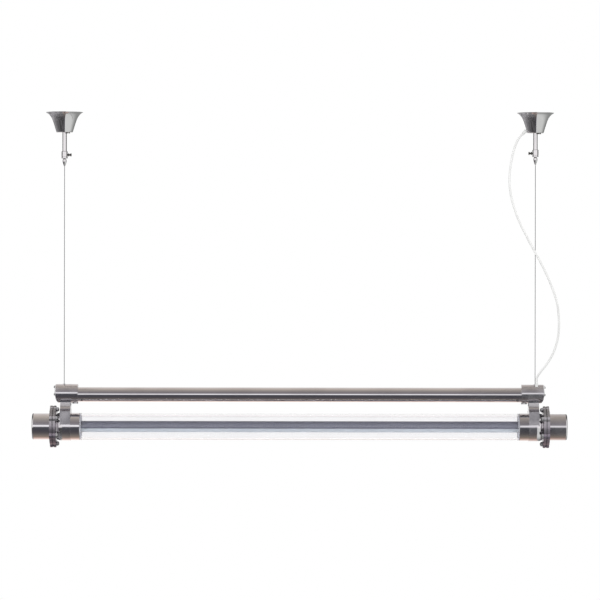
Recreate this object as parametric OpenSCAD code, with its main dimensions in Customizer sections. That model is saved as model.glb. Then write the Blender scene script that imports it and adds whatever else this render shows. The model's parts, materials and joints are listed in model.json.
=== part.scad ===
// Acrylic tube pendant light: a straight lamp in a clear tube, hung from two wires.
// Millimetres. The origin is on the ceiling, midway between the two canopies.
// +X runs along the tube, -Y faces the viewer and +Z is up.

/* [Lamp] */
// Length of the lamp between the outer faces of its two bases
lamp_length = 1199.4; // [900:0.1:1500]
// Outer diameter of the lamp
lamp_d = 26; // [22:0.5:28]
// Wall of the lamp's aluminium back
lamp_wall = 1.4; // [1:0.1:2]
// Wall of the lamp's diffuser
diffuser_wall = 1; // [0.8:0.1:1.6]
// Height of the aluminium back's lower edge below the lamp's axis
back_drop = 4; // [2:0.5:6]
// Length of each lamp base
base_length = 18; // [12:1:30]
// How far a lamp base stands proud of the lamp all round
base_lip = 0.3; // [0.1:0.1:1]
// Diameter of a lamp pin
pin_d = 2.4; // [2:0.1:2.6]
// Length of a lamp pin
pin_length = 7.1; // [6:0.1:8]
// Distance between the two pins of a base
pin_pitch = 12.7; // [12:0.1:13]
// Width of the circuit board in the lamp
board_width = 17; // [10:1:19]
// Thickness of the circuit board
board_thick = 1.2; // [0.8:0.1:2]

/* [Lampholders] */
// Depth of a lampholder along the lamp
holder_depth = 13.3; // [11:0.1:16]
// Radius of the lampholder's round head
holder_head_r = 20.5; // [20:0.5:24]
// Width of the lampholder's foot
holder_foot_width = 22; // [16:1:26]
// Gap between the lampholder's foot and the end cap's barrel
holder_gap = 1.3; // [0.5:0.1:3]
// Diameter of the rotor that turns with the lamp's pins
rotor_d = 17; // [16:0.5:20]
// Depth of the rotor
rotor_depth = 8.6; // [8.2:0.1:10]
// Diameter of the screws that hold a lampholder
holder_screw_d = 3; // [2:0.5:4]

/* [Clear tube and glands] */
// Outer diameter of the clear tube
tube_d = 60; // [56:0.5:64]
// Wall of the clear tube
tube_wall = 3; // [2:0.5:5]
// How far the tube reaches into each hub
tube_seat = 4; // [2:0.5:10]
// Length of the gland sleeve between hub and seal
sleeve_length = 21.5; // [15:0.5:30]
// Wall of the gland sleeve
sleeve_wall = 1.4; // [1:0.1:3]
// Width of the clear seal at the mouth of the sleeve
seal_width = 3; // [2:0.5:6]

/* [End caps and flanges] */
// Outer diameter of an end cap's barrel
cap_d = 60.5; // [58:0.5:66]
// Wall of the end cap's barrel
cap_wall = 3; // [2:0.5:4]
// Thickness of the end cap's closed end
cap_end_wall = 4; // [3:0.5:8]
// Length of the barrel outside the flange
cap_length = 41; // [36:0.5:60]
// Radius of the end cap's outer edge
cap_edge_r = 3; // [1:0.5:3.5]
// How far a flange stands out past the hub
flange_width = 11; // [10.5:0.5:14]
// Diameter of the lobe round each bolt
lobe_d = 18; // [15:0.5:20]
// Distance from the hub to the axis of each bolt
bolt_offset = 6.8; // [6.5:0.1:8]
// Number of bolts in each flange
bolt_count = 6; // [4:1:8]
// Thickness of the end cap's flange
outer_flange_t = 6.5; // [6:0.1:10]
// Thickness of the hub's flange
inner_flange_t = 6.3; // [5:0.1:9]
// Thickness of the gasket between the flanges
gasket_t = 1.5; // [1:0.1:3]
// How far the gasket's edge lies inside the flanges' edge
gasket_inset = 1.5; // [1:0.5:3]
// Size of the small step round a flange's edges
flange_edge = 0.8; // [0.4:0.1:1.5]
// Diameter of a flange bolt
bolt_d = 6; // [5:0.5:6]
// Diameter of a bolt's head
bolt_head_d = 10; // [8.5:0.1:10.5]
// Height of a bolt's head
bolt_head_h = 4.5; // [3:0.1:5]
// Width of a flange nut across its flats
nut_af = 10; // [8:0.5:10]
// Height of a flange nut
nut_h = 5; // [4:0.1:5]

/* [Hub and neck] */
// Wall of the hub round the clear tube
hub_wall = 2.5; // [2:0.5:5]
// Length of the hub from its inner face to the flange
hub_length = 33.5; // [32:0.5:40]
// Length of the hub's rounded shoulder
shoulder_length = 15; // [8:0.5:16]
// How far the shoulder falls in towards the axis
shoulder_fall = 5.5; // [3:0.5:6]
// How far the hub's bore steps in behind the tube's seat
hub_bore_step = 3; // [2:0.5:5]
// Width of the neck along the tube
neck_width = 24; // [22:0.5:26]
// Depth of the neck at its waist
neck_waist = 26; // [22:0.5:30]
// Radius of the hollow on each side of the neck
neck_hollow_r = 20; // [16:0.5:22]
// How far the saddle's flat sides rise above the hub
saddle_lift = 3.5; // [2:0.5:5]
// How far the saddle's flat sides lie inside the hub's radius
saddle_step = 0.5; // [0.3:0.1:2]
// Diameter of the wiring bore through the neck
neck_bore_d = 9; // [7:0.5:12]

/* [Collar and carrier tube] */
// Outer diameter of the carrier tube
rail_d = 33.7; // [32:0.1:34]
// Wall of the carrier tube
rail_wall = 2; // [1.5:0.1:3]
// How far the carrier tube reaches into each collar
rail_seat = 24; // [16:0.5:25]
// Outer diameter of the collar
collar_d = 43; // [42:0.5:46]
// How far the collar's axis lies above the carrier tube's axis
collar_rise = 2.6; // [2:0.1:3]
// Length of the collar
collar_length = 51; // [50:0.5:56]
// How far the collar reaches inwards past the neck
collar_overhang = 16.5; // [14:0.5:20]
// Length of the rounding on the collar's lower outer corner
corner_length = 10; // [6:0.5:10]
// Height of the rounding on the collar's lower outer corner
corner_height = 13; // [8:0.5:14]
// Thickness of the collar's end wall
collar_end_wall = 8; // [7:0.5:9]
// Diameter of the boss for the tube's set screw
boss_d = 13; // [11:0.5:14]
// How far the boss stands below the collar
boss_drop = 2.2; // [1:0.1:4]
// Diameter of the tube's set screw
set_screw_d = 6; // [4:0.5:6]
// Diameter of the collar's end cover
cover_d = 28; // [26:0.5:30]
// Thickness of the end cover
cover_t = 2.5; // [1.5:0.1:4]
// Distance between the two screws of an end cover
cover_pitch = 17; // [16:0.5:19]
// Diameter of an end cover's screw
cover_screw_d = 3; // [2:0.5:4]

/* [Suspension] */
// Depth of the lamp's axis below the ceiling
lamp_drop = 726; // [500:1:1500]
// Distance between the axes of the lamp and the carrier tube
rail_gap = 74; // [73:0.5:76]
// Distance of each wire from the hub's inner face
wire_inset = 15.5; // [14:0.5:17]
// Diameter of a suspension wire
wire_d = 1.5; // [1:0.1:2]
// Depth of the left clamp's top below the ceiling
stem_left_drop = 90; // [84:0.5:140]
// Depth of the right clamp's top below the ceiling
stem_right_drop = 85; // [84:0.5:140]
// Outer diameter of a stem
stem_d = 10; // [9:0.5:12]
// Bore of a stem
stem_bore = 5; // [4:0.5:6]
// Outer diameter of a wire clamp
clamp_d = 14; // [13.5:0.5:18]
// Length of a wire clamp
clamp_length = 17; // [16:0.5:24]
// Depth of the clamp's socket for the stem
clamp_socket = 6; // [4:0.5:6]
// Widest diameter of the wire guide below a clamp
guide_d = 9; // [8:0.5:11]
// Length of the wire guide below the clamp
guide_length = 18; // [12:0.5:24]
// Diameter of a thumbscrew's head
thumb_d = 7; // [6:0.5:9]
// Length of a thumbscrew's head
thumb_length = 8; // [6:0.5:10]
// Length of each knurled rim of a thumbscrew's head
thumb_rim = 2.6; // [1.5:0.1:2.8]
// Diameter of a thumbscrew's thread
thumb_thread_d = 3; // [2:0.5:4]
// Gap between the clamp and the thumbscrew's head
thumb_gap = 1; // [0.5:0.5:6]

/* [Ceiling fittings] */
// Diameter of a canopy's rim
canopy_rim_d = 86; // [80:1:110]
// Diameter of a canopy at its lower end
canopy_foot_d = 36; // [34:1:44]
// Height of a canopy
canopy_height = 46.7; // [46:0.1:60]
// Wall of a canopy
canopy_wall = 1.2; // [1:0.1:2]
// Thickness of the canopy's bottom
canopy_floor = 1.6; // [1:0.1:3]
// Length of the ceiling strap
strap_length = 66; // [62:1:70]
// Width of the ceiling strap
strap_width = 22; // [20:1:26]
// Thickness of the ceiling strap
strap_t = 3; // [2:0.5:4]
// Distance between the two screw holes of a strap
strap_pitch = 50; // [46:1:50]
// Diameter of a screw hole in the strap
strap_hole_d = 4.5; // [3.5:0.1:5.5]
// Width of a stem nut across its flats
stem_nut_af = 17; // [16:0.5:18]
// Height of a stem nut
stem_nut_h = 5; // [4:0.5:8]
// Outer diameter of the grip ring inside a canopy
grip_d = 30; // [28:0.5:31]
// Height of the grip ring
grip_h = 4; // [3:0.5:6]
// Diameter of a canopy screw's head
canopy_screw_head_d = 3.6; // [3:0.1:4]
// Height of a canopy screw's head
canopy_screw_head_h = 2.4; // [1.5:0.1:3]
// Diameter of a canopy screw's thread
canopy_screw_d = 2; // [1.5:0.1:2.4]

/* [Supply] */
// Diameter of the power cord
cord_d = 5; // [4:0.1:6]
// Length of the tapered relief where the cord leaves a fitting
relief_length = 10; // [6:0.5:12]
// Diameter of the relief at its wide end
relief_d = 8; // [7.5:0.1:9]
// Diameter of the relief at its narrow end
relief_tip_d = 6.2; // [6:0.1:7]
// How far the relief's flange stands out past its wide end
relief_lip = 0.8; // [0.4:0.1:1]
// Diameter of an inner lead
lead_d = 3; // [2:0.1:3.4]

/* [Fits] */
// Radial clearance of parts that slide or turn
running_fit = 0.1; // [0.05:0.01:0.1]
// Radial clearance of parts that only pass through
loose_fit = 0.25; // [0.15:0.05:0.4]
// Gap where a part stops just short of its neighbour
seat_gap = 0.3; // [0.2:0.05:0.5]

/* [Hidden] */

$fn = 72;
LEFT = -1;
RIGHT = 1;

// One overrun serves every cut
overrun = 1;

// Places along the tube, worked out from the lamp outwards and then inwards again
cap_floor_x = lamp_length / 2 + seat_gap + holder_depth;
cap_end_x = cap_floor_x + cap_end_wall;
flange_face_x = cap_end_x - cap_length;
outer_flange_x = flange_face_x - outer_flange_t;
gasket_x = outer_flange_x - gasket_t;
inner_flange_x = gasket_x - inner_flange_t;
hub_x = inner_flange_x - hub_length;
sleeve_x = hub_x - sleeve_length;
seal_x = sleeve_x - seal_width;
tube_end_x = hub_x + tube_seat;
neck_x = hub_x + neck_width / 2;
wire_x = hub_x + wire_inset;
collar_x = hub_x - collar_overhang;
collar_end_x = collar_x + collar_length;
rail_end_x = collar_x + rail_seat;
cavity_end_x = collar_end_x - collar_end_wall;

// Heights
axis_z = -lamp_drop;
rail_z = axis_z + rail_gap;
collar_z = rail_z + collar_rise;
collar_top_z = collar_z + collar_d / 2;
collar_bottom_z = collar_z - collar_d / 2;
rail_bore_r = rail_d / 2 - rail_wall;
cover_z = collar_top_z - cover_d / 2 - cap_edge_r / 2;
cover_hole_r = cover_pitch / 2 - cover_screw_d;

// Sizes that follow from the driving ones
tube_bore_r = tube_d / 2 - tube_wall;
hub_d = tube_d + 2 * hub_wall;
hub_bore_r = tube_bore_r - hub_bore_step;
saddle_rise = hub_d / 2 + saddle_lift;
flange_d = hub_d + 2 * flange_width;
bolt_circle_d = hub_d + 2 * bolt_offset;
cap_bore_r = cap_d / 2 - cap_wall;
holder_foot_reach = sqrt(pow(cap_bore_r - holder_gap, 2) - pow(holder_foot_width / 2, 2));
// The lampholder's screws lie midway between its foot and the lamp's base
holder_screw_z = axis_z - (holder_foot_reach + lamp_d / 2 + base_lip) / 2;
sleeve_bore_r = tube_d / 2 + running_fit;
sleeve_r = sleeve_bore_r + sleeve_wall;
bolt_hole_r = bolt_d / 2 + loose_fit;
bolt_tail = bolt_d / 4;
anchor_d = 3.4 * wire_d;
anchor_head_d = 4.7 * wire_d;
anchor_head_h = wire_d / 1.5;
anchor_length = collar_top_z - (rail_z + rail_bore_r);
anchor_seat = wire_d / 3;
guide_spigot_d = guide_d * 0.75;
guide_spigot_h = clamp_length / 4;
guide_tip_d = 1.8 * wire_d;
thumb_hole_r = thumb_thread_d / 2 + running_fit;
wire_bore_r = wire_d / 2 + loose_fit;
strap_hole_r = strap_hole_d / 2;
canopy_bore_r = stem_d / 2 + running_fit;

// The canopy's outline from rim to foot, as shares of its height and of its flare
canopy_depth_shares = [0, 0.03, 0.09, 0.17, 0.27, 0.40, 0.55, 0.70, 0.84, 0.95, 1];
canopy_flare_shares = [1, 0.94, 0.76, 0.62, 0.49, 0.38, 0.285, 0.195, 0.115, 0.055, 0];

// The wire guide's outline from clamp to tip, as shares of its length and of its swell
guide_length_shares = [0, 0.08, 0.2, 0.35, 0.5, 0.65, 0.8, 0.92, 1];
guide_swell_shares = [0.45, 0.75, 0.94, 1, 0.9, 0.68, 0.4, 0.14, 0];

// Places of the two canopy screws round the stem, seen from below
canopy_screw_places = [
    [stem_d * 0.65, -stem_d * 0.62],
    [stem_d * 1.08, -stem_d * 0.3]
];

// The cord leaves the right canopy low on its inner side, at this slant from straight down
cord_slant = 45;
relief_wall_r = canopy_foot_d / 2 + 3.4 * canopy_wall;
relief_wall_z = -0.89 * canopy_height;
// The cord enters the right collar in front of the wire
cord_entry_x = wire_x + wire_d * 2;
cord_entry_y = -collar_d * 0.21;
relief_seat_z = collar_z + sqrt(pow(collar_d / 2, 2) - pow(-cord_entry_y + relief_d / 2 + relief_lip, 2));
cord_sides = 12;
cord_steps = 3;

// The cord's route from the canopy to the collar, as chosen round numbers
cord_route = [
    [514.5, 0, -49], [508.5, 0, -55], [500, -1, -69], [490, -3, -102], [484, -5, -146],
    [486, -7, -184], [495, -9, -221], [509, -11, -257], [528, -12, -295], [546, -12, -328],
    [564, -12, -362], [582, -12, -403], [594, -12, -441], [598, -12, -481],
    [596, -12, -518], [586, -12, -552], [571, -12, -579], [556, -11, -598],
    [548, -9, -611], [547, -9, -622.5]
];

nickel = [0.66, 0.63, 0.61];
dark_nickel = [0.45, 0.43, 0.42];
steel = [0.75, 0.75, 0.76];
aluminium = [0.55, 0.56, 0.6];
rubber = [0.12, 0.12, 0.13];
white_plastic = [0.9, 0.9, 0.88];
pale_cord = [0.82, 0.82, 0.81];
clear = [0.85, 0.92, 0.95, 0.3];
milky = [0.82, 0.84, 0.92];
copper_board = [0.86, 0.87, 0.84];

// Draws its children on the right as they are, and on the left as their mirror image
module on_side(side) {
    if (side == RIGHT) children();
    else mirror([1, 0, 0]) children();
}

module both_sides() {
    for (side = [LEFT, RIGHT]) on_side(side) children();
}

// A rod along X between two places, centred on the height z
module rod_x(r, x0, x1, z = 0, y = 0) {
    translate([x0, y, z]) rotate([0, 90, 0]) cylinder(h = x1 - x0, r = r);
}

// A ring along X between two places
module ring_x(r_out, r_in, x0, x1, z = 0) {
    difference() {
        rod_x(r_out, x0, x1, z);
        rod_x(r_in, x0 - overrun, x1 + overrun, z);
    }
}

// Turns a profile of [radius, place along X] round the lamp's axis
module turned_x(profile, z = 0) {
    translate([0, 0, z]) rotate([0, 90, 0]) rotate_extrude() polygon(profile);
}

// Points of a quarter ellipse about a centre, from one angle to another
function arc_points(centre, rx, ry, a0, a1, steps) = [
    for (i = [0 : steps])
        let (a = a0 + (a1 - a0) * i / steps)
        [centre[0] + rx * cos(a), centre[1] + ry * sin(a)]
];

// A round bar with a hexagon across its flats
module hex_bar(af, h) {
    cylinder(h = h, r = af / 2 / cos(30), $fn = 6);
}

module ceiling_strap(side) {
    color(steel) translate([side * wire_x, 0, -strap_t]) difference() {
        union() {
            translate([-strap_width / 2, -(strap_length - strap_width) / 2, 0])
                cube([strap_width, strap_length - strap_width, strap_t]);
            for (end = [-1, 1])
                translate([0, end * (strap_length - strap_width) / 2, 0])
                    cylinder(h = strap_t, r = strap_width / 2);
        }
        translate([0, 0, -overrun])
            cylinder(h = strap_t + 2 * overrun, r = stem_d / 2 + running_fit);
        for (end = [-1, 1])
            translate([0, end * strap_pitch / 2, -overrun])
                cylinder(h = strap_t + 2 * overrun, r = strap_hole_r);
    }
}

function stem_drop(side) = side == LEFT ? stem_left_drop : stem_right_drop;

module stem(side) {
    length = stem_drop(side) + clamp_socket - seat_gap;
    chamfer = (stem_d - stem_bore) / 8;
    color(nickel) translate([side * wire_x, 0, -seat_gap - length]) rotate_extrude()
        polygon([
            [stem_bore / 2, 0], [stem_d / 2 - chamfer, 0], [stem_d / 2, chamfer],
            [stem_d / 2, length - chamfer], [stem_d / 2 - chamfer, length],
            [stem_bore / 2, length]
        ]);
}

module stem_nuts() {
    color(steel) for (side = [LEFT, RIGHT])
        translate([side * wire_x, 0, -strap_t - stem_nut_h]) difference() {
            intersection() {
                hex_bar(stem_nut_af, stem_nut_h);
                cylinder(h = stem_nut_h, r1 = stem_nut_af * 0.53, r2 = stem_nut_af * 0.6);
            }
            translate([0, 0, -overrun])
                cylinder(h = stem_nut_h + 2 * overrun, r = stem_d / 2 + running_fit);
        }
}

// Two-way terminal on the right strap, beside the stem
module supply_terminal() {
    width = strap_width * 0.9;
    depth = strap_width / 2;
    height = stem_nut_h * 2;
    screw_r = depth / 5;
    color(white_plastic) translate([wire_x - width / 2, stem_nut_af * 0.7, -strap_t - height])
        difference() {
            cube([width, depth, height]);
            for (place = [-1, 1]) {
                translate([width / 2 + place * width / 4, depth / 2, -overrun])
                    cylinder(h = height / 2, r = screw_r);
                translate([width / 2 + place * width / 4, -overrun, height * 0.7])
                    rotate([-90, 0, 0]) cylinder(h = depth + 2 * overrun, r = screw_r / 1.5);
            }
        }
}

module wire_clamp(side) {
    chamfer = clamp_d / 16;
    groove = clamp_d / 28;
    groove_z = clamp_length * 0.2;
    top_z = -stem_drop(side);
    color(nickel) translate([side * wire_x, 0, top_z - clamp_length]) difference() {
        rotate_extrude() polygon([
            [wire_bore_r, 0], [clamp_d / 2 - chamfer, 0], [clamp_d / 2, chamfer],
            [clamp_d / 2, groove_z], [clamp_d / 2 - groove, groove_z + groove],
            [clamp_d / 2, groove_z + 2 * groove], [clamp_d / 2, clamp_length - chamfer],
            [clamp_d / 2 - chamfer, clamp_length], [wire_bore_r, clamp_length]
        ]);
        translate([0, 0, clamp_length - clamp_socket])
            cylinder(h = clamp_socket + overrun, r = stem_d / 2 + running_fit / 2);
        translate([0, 0, -overrun])
            cylinder(h = guide_spigot_h + seat_gap + overrun, r = guide_spigot_d / 2 + running_fit / 2);
        translate([0, 0, clamp_length / 2]) rotate([0, -side * 90, 0])
            cylinder(h = clamp_d, r = thumb_hole_r);
    }
}

function guide_top_z(side) = -stem_drop(side) - clamp_length;
function guide_tip_z(side) = guide_top_z(side) - guide_length;

module wire_guide(side) {
    swell = (guide_d - guide_tip_d) / 2;
    outline = [
        for (i = [0 : len(guide_length_shares) - 1])
            [guide_tip_d / 2 + swell * guide_swell_shares[i], -guide_length * guide_length_shares[i]]
    ];
    color(nickel) translate([side * wire_x, 0, guide_top_z(side)]) rotate_extrude()
        polygon(concat(
            [[wire_bore_r, guide_spigot_h], [guide_spigot_d / 2, guide_spigot_h], [guide_spigot_d / 2, 0]],
            [for (point = outline) if (point[0] < guide_spigot_d / 2 || point[1] < 0) point],
            [[wire_bore_r, -guide_length]]
        ));
}

// The spare end of each wire, from the guide's tip up into the stem
module wire_tails() {
    color(steel) for (side = [LEFT, RIGHT])
        translate([side * wire_x, 0, guide_tip_z(side)])
            cylinder(h = -guide_tip_z(side) - strap_t - stem_nut_h, r = wire_d / 2);
}

function canopy_profile() = [
    for (i = [0 : len(canopy_depth_shares) - 1])
        [
            canopy_foot_d / 2 + (canopy_rim_d - canopy_foot_d) / 2 * canopy_flare_shares[i],
            -canopy_height * canopy_depth_shares[i]
        ]
];

module canopy_shell() {
    outer = canopy_profile();
    last = len(outer) - 1;
    inner = [for (i = [last - 1 : -1 : 0]) [outer[i][0] - canopy_wall * 1.25, outer[i][1]]];
    floor_z = -canopy_height + canopy_floor;
    rotate_extrude() polygon(concat(
        [for (i = [0 : last - 1]) outer[i]],
        [
            [outer[last][0] - canopy_wall, outer[last][1]],
            [canopy_bore_r, outer[last][1]],
            [canopy_bore_r, floor_z],
            [outer[last][0] - canopy_wall, floor_z]
        ],
        inner
    ));
}

// Turns its children from straight down to the way the cord leaves the canopy
module at_canopy_relief() {
    translate([wire_x - relief_wall_r, 0, relief_wall_z]) rotate([0, 180 + cord_slant, 0]) children();
}

module canopy(side) {
    color(nickel) difference() {
        translate([side * wire_x, 0, 0]) canopy_shell();
        for (place = canopy_screw_places)
            translate([side * wire_x + place[0], place[1], -canopy_height - overrun])
                cylinder(h = canopy_floor + 2 * overrun, r = canopy_screw_d / 2 + running_fit);
        if (side == RIGHT) at_canopy_relief()
            translate([0, 0, -relief_length]) cylinder(h = 2 * relief_length, r = relief_tip_d / 2 + running_fit);
    }
}

// Plastic ring that grips the stem and takes the canopy's screws
module canopy_grip(side) {
    color(rubber) translate([side * wire_x, 0, -canopy_height + canopy_floor]) difference() {
        cylinder(h = grip_h, r = grip_d / 2);
        translate([0, 0, -overrun]) cylinder(h = grip_h + 2 * overrun, r = canopy_bore_r);
        for (place = canopy_screw_places)
            translate([place[0], place[1], -overrun])
                cylinder(h = grip_h + 2 * overrun, r = canopy_screw_d / 2 + running_fit);
        if (side == RIGHT) translate([-grip_d / 2 - relief_d, -relief_d / 1.5, -overrun])
            cube([relief_d * 1.6, relief_d * 2 / 1.5, grip_h + 2 * overrun]);
    }
}

module canopy_screws(side) {
    color(dark_nickel) for (place = canopy_screw_places)
        translate([side * wire_x + place[0], place[1], -canopy_height]) {
            difference() {
                translate([0, 0, -canopy_screw_head_h])
                    cylinder(h = canopy_screw_head_h, r = canopy_screw_head_d / 2);
                translate([-canopy_screw_head_d, -canopy_screw_d / 8, -canopy_screw_head_h - overrun])
                    cube([canopy_screw_head_d * 2, canopy_screw_d / 4, overrun + canopy_screw_head_h / 3]);
            }
            cylinder(h = canopy_floor + grip_h * 0.9, r = canopy_screw_d / 2);
        }
}

// A tapered relief round the cord: flange at z 0, taper to the tip, spigot through the wall
module cord_relief(spigot) {
    lip_h = relief_lip * 1.5;
    rotate_extrude() polygon([
        [0, -spigot], [relief_tip_d / 2, -spigot], [relief_tip_d / 2, 0],
        [relief_d / 2 + relief_lip, 0], [relief_d / 2 + relief_lip, lip_h],
        [relief_d / 2, lip_h], [relief_tip_d / 2, relief_length], [0, relief_length]
    ]);
}

module canopy_cord_relief() {
    color(pale_cord) at_canopy_relief() cord_relief(relief_tip_d / 2);
}

module thumbscrew(side) {
    teeth = 18;
    tooth = thumb_d / 26;
    start = clamp_d / 2 + thumb_gap;
    reach = clamp_d / 2 - wire_d;
    outline = [
        for (i = [0 : 2 * teeth - 1])
            let (r = thumb_d / 2 - (i % 2) * tooth, a = i * 180 / teeth)
            [r * cos(a), r * sin(a)]
    ];
    color(dark_nickel)
        translate([side * wire_x, 0, -stem_drop(side) - clamp_length / 2])
        rotate([0, -side * 90, 0]) {
            for (rim_z = [start, start + thumb_length - thumb_rim])
                translate([0, 0, rim_z]) linear_extrude(thumb_rim) polygon(outline);
            translate([0, 0, start + thumb_rim / 2])
                cylinder(h = thumb_length - thumb_rim, r = thumb_d * 0.3);
            translate([0, 0, start - thumb_gap - reach])
                cylinder(h = thumb_gap + reach, r = thumb_thread_d / 2);
        }
}

module suspension_wire(side) {
    top_z = guide_tip_z(side) - seat_gap;
    bottom_z = collar_top_z - anchor_length * 0.8;
    color(steel) translate([side * wire_x, 0, bottom_z]) cylinder(h = top_z - bottom_z, r = wire_d / 2);
}

module carrier_tube() {
    color(nickel) ring_x(rail_d / 2, rail_bore_r, -rail_end_x, rail_end_x, rail_z);
}

// Side view of the collar, with its lower outer corner rounded off
module collar_clip() {
    low = collar_bottom_z - overrun;
    corner = [collar_end_x - corner_length, collar_bottom_z + corner_height];
    translate([0, collar_d, 0]) rotate([90, 0, 0]) linear_extrude(2 * collar_d) polygon(concat(
        [[collar_x - overrun, low]],
        arc_points(corner, corner_length, corner_height + overrun, -90, 0, 8),
        [[collar_end_x, collar_top_z + overrun], [collar_x - overrun, collar_top_z + overrun]]
    ));
}

// The neck: flat sides on the saddle, hollowed in to a waist below the collar
module neck() {
    cut_z = axis_z + saddle_rise + neck_hollow_r;
    top_z = cut_z + neck_hollow_r * 0.75;
    half = hub_d / 2 - saddle_step;
    difference() {
        translate([hub_x, -half, axis_z]) cube([neck_width, 2 * half, top_z - axis_z]);
        for (front = [-1, 1])
            rod_x(neck_hollow_r, hub_x - overrun, hub_x + neck_width + overrun,
                cut_z, front * (neck_waist / 2 + neck_hollow_r));
    }
}

// The hub turned about the lamp's axis, with its rounded shoulder
module hub() {
    shoulder_x = inner_flange_x - shoulder_length;
    centre = [hub_d / 2 - shoulder_fall, shoulder_x];
    turned_x(concat(
        [[0, hub_x], [hub_d / 2, hub_x]],
        arc_points(centre, shoulder_fall, shoulder_length, 0, 80, 8),
        [[hub_d / 2 - shoulder_fall, inner_flange_x + overrun], [0, inner_flange_x + overrun]]
    ), axis_z);
}

// Face of a flange: a disc with a lobe round each bolt, drawn in by an inset
module flange_face(inset) {
    circle(r = flange_d / 2 - inset);
    for (i = [0 : bolt_count - 1])
        rotate(i * 360 / bolt_count) translate([bolt_circle_d / 2, 0]) circle(r = lobe_d / 2 - inset);
}

// A lobed flange plate between two places along X, with a small step round both edges
module flange_plate(x0, x1) {
    translate([x0, 0, axis_z]) rotate([0, 90, 0]) {
        linear_extrude(x1 - x0) flange_face(flange_edge);
        translate([0, 0, flange_edge]) linear_extrude(x1 - x0 - 2 * flange_edge) flange_face(0);
    }
}

// Places children on each bolt of the right flange, with their Z along +X
module at_bolts() {
    translate([0, 0, axis_z]) rotate([0, 90, 0])
        for (i = [0 : bolt_count - 1])
            rotate([0, 0, i * 360 / bolt_count]) translate([bolt_circle_d / 2, 0, 0]) children();
}

module bolt_holes(x0, x1) {
    at_bolts() translate([0, 0, x0 - overrun])
        cylinder(h = x1 - x0 + 2 * overrun, r = bolt_hole_r);
}

module end_bracket(side) {
    color(nickel) on_side(side) difference() {
        union() {
            intersection() {
                rod_x(collar_d / 2, collar_x, collar_end_x, collar_z);
                collar_clip();
            }
            neck();
            hub();
            flange_plate(inner_flange_x, gasket_x);
            translate([collar_x + boss_d / 2, 0, collar_bottom_z - boss_drop])
                cylinder(h = boss_drop + rail_wall, r = boss_d / 2);
        }
        rod_x(tube_d / 2 + running_fit, hub_x - overrun, tube_end_x, axis_z);
        rod_x(hub_bore_r, hub_x, gasket_x + overrun, axis_z);
        bolt_holes(inner_flange_x, gasket_x);
        rod_x(rail_d / 2 + running_fit / 2, collar_x - overrun, rail_end_x, rail_z);
        rod_x(rail_bore_r, collar_x, cavity_end_x, rail_z);
        rod_x(cover_hole_r, cavity_end_x - overrun, collar_end_x + overrun, cover_z);
        for (place = [-1, 1])
            rod_x(cover_screw_d / 2 + running_fit / 2, cavity_end_x + cover_screw_d / 2,
                collar_end_x + overrun, cover_z + place * cover_pitch / 2);
        translate([neck_x, 0, axis_z]) cylinder(h = rail_gap, r = neck_bore_d / 2);
        translate([collar_x + boss_d / 2, 0, collar_bottom_z - boss_drop - overrun])
            cylinder(h = boss_drop + overrun + collar_d / 4, r = set_screw_d / 2 + running_fit / 2);
        translate([wire_x, 0, rail_z]) cylinder(h = collar_d, r = anchor_d / 2 + running_fit / 2);
        translate([wire_x, 0, collar_top_z - anchor_seat])
            cylinder(h = collar_d, r = anchor_head_d / 2 + running_fit);
        if (side == RIGHT) {
            translate([cord_entry_x, cord_entry_y, rail_z])
                cylinder(h = collar_d, r = relief_tip_d / 2 + running_fit / 2);
            translate([cord_entry_x, cord_entry_y, relief_seat_z])
                cylinder(h = collar_d, r = relief_d / 2 + relief_lip + running_fit);
        }
    }
}

module collar_cover(side) {
    edge = cover_t / 4;
    color(steel) on_side(side) difference() {
        turned_x([
            [0, collar_end_x], [cover_d / 2, collar_end_x],
            [cover_d / 2, collar_end_x + cover_t - edge],
            [cover_d / 2 - edge, collar_end_x + cover_t], [0, collar_end_x + cover_t]
        ], cover_z);
        for (place = [-1, 1])
            rod_x(cover_screw_d / 2 + running_fit / 2, collar_end_x - overrun,
                collar_end_x + cover_t + overrun, cover_z + place * cover_pitch / 2);
    }
}

module cover_screws() {
    head_h = cover_screw_d * 0.8;
    head_r = cover_screw_d * 0.9;
    face_x = collar_end_x + cover_t;
    color(dark_nickel) both_sides() for (place = [-1, 1]) {
        z = cover_z + place * cover_pitch / 2;
        rod_x(cover_screw_d / 2, cavity_end_x + cover_screw_d, face_x, z);
        turned_x([[0, face_x], [head_r, face_x], [head_r, face_x + head_h / 2],
            [head_r * 0.7, face_x + head_h], [0, face_x + head_h]], z);
    }
}

module tube_set_screws() {
    length = rail_z - rail_d / 2 - (collar_bottom_z - boss_drop) - running_fit / 2;
    color(dark_nickel) both_sides()
        translate([collar_x + boss_d / 2, 0, collar_bottom_z - boss_drop]) difference() {
            cylinder(h = length, r = set_screw_d / 2);
            translate([0, 0, -overrun]) hex_bar(set_screw_d / 2, overrun + length / 2);
        }
}

// A flanged bush in the top of each collar that holds the wire's end
module wire_anchors() {
    color(steel) both_sides()
        translate([wire_x, 0, collar_top_z - anchor_seat]) rotate_extrude() polygon([
            [wire_bore_r, -anchor_length + anchor_seat], [anchor_d / 2, -anchor_length + anchor_seat],
            [anchor_d / 2, 0], [anchor_head_d / 2, 0], [anchor_head_d / 2, anchor_head_h * 0.6],
            [anchor_head_d / 2 - anchor_head_h * 0.4, anchor_head_h], [wire_bore_r, anchor_head_h]
        ]);
}

module collar_cord_relief() {
    spigot = relief_seat_z - (rail_z + rail_bore_r * 0.8);
    color(pale_cord) translate([cord_entry_x, cord_entry_y, relief_seat_z]) cord_relief(spigot);
}

lead_terminal_z = rail_z - rail_bore_r * 0.1;
lead_terminal_size = [rail_bore_r * 0.66, rail_bore_r * 0.95, rail_bore_r * 0.6];
lead_terminal_x = neck_x + lead_d;

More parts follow.
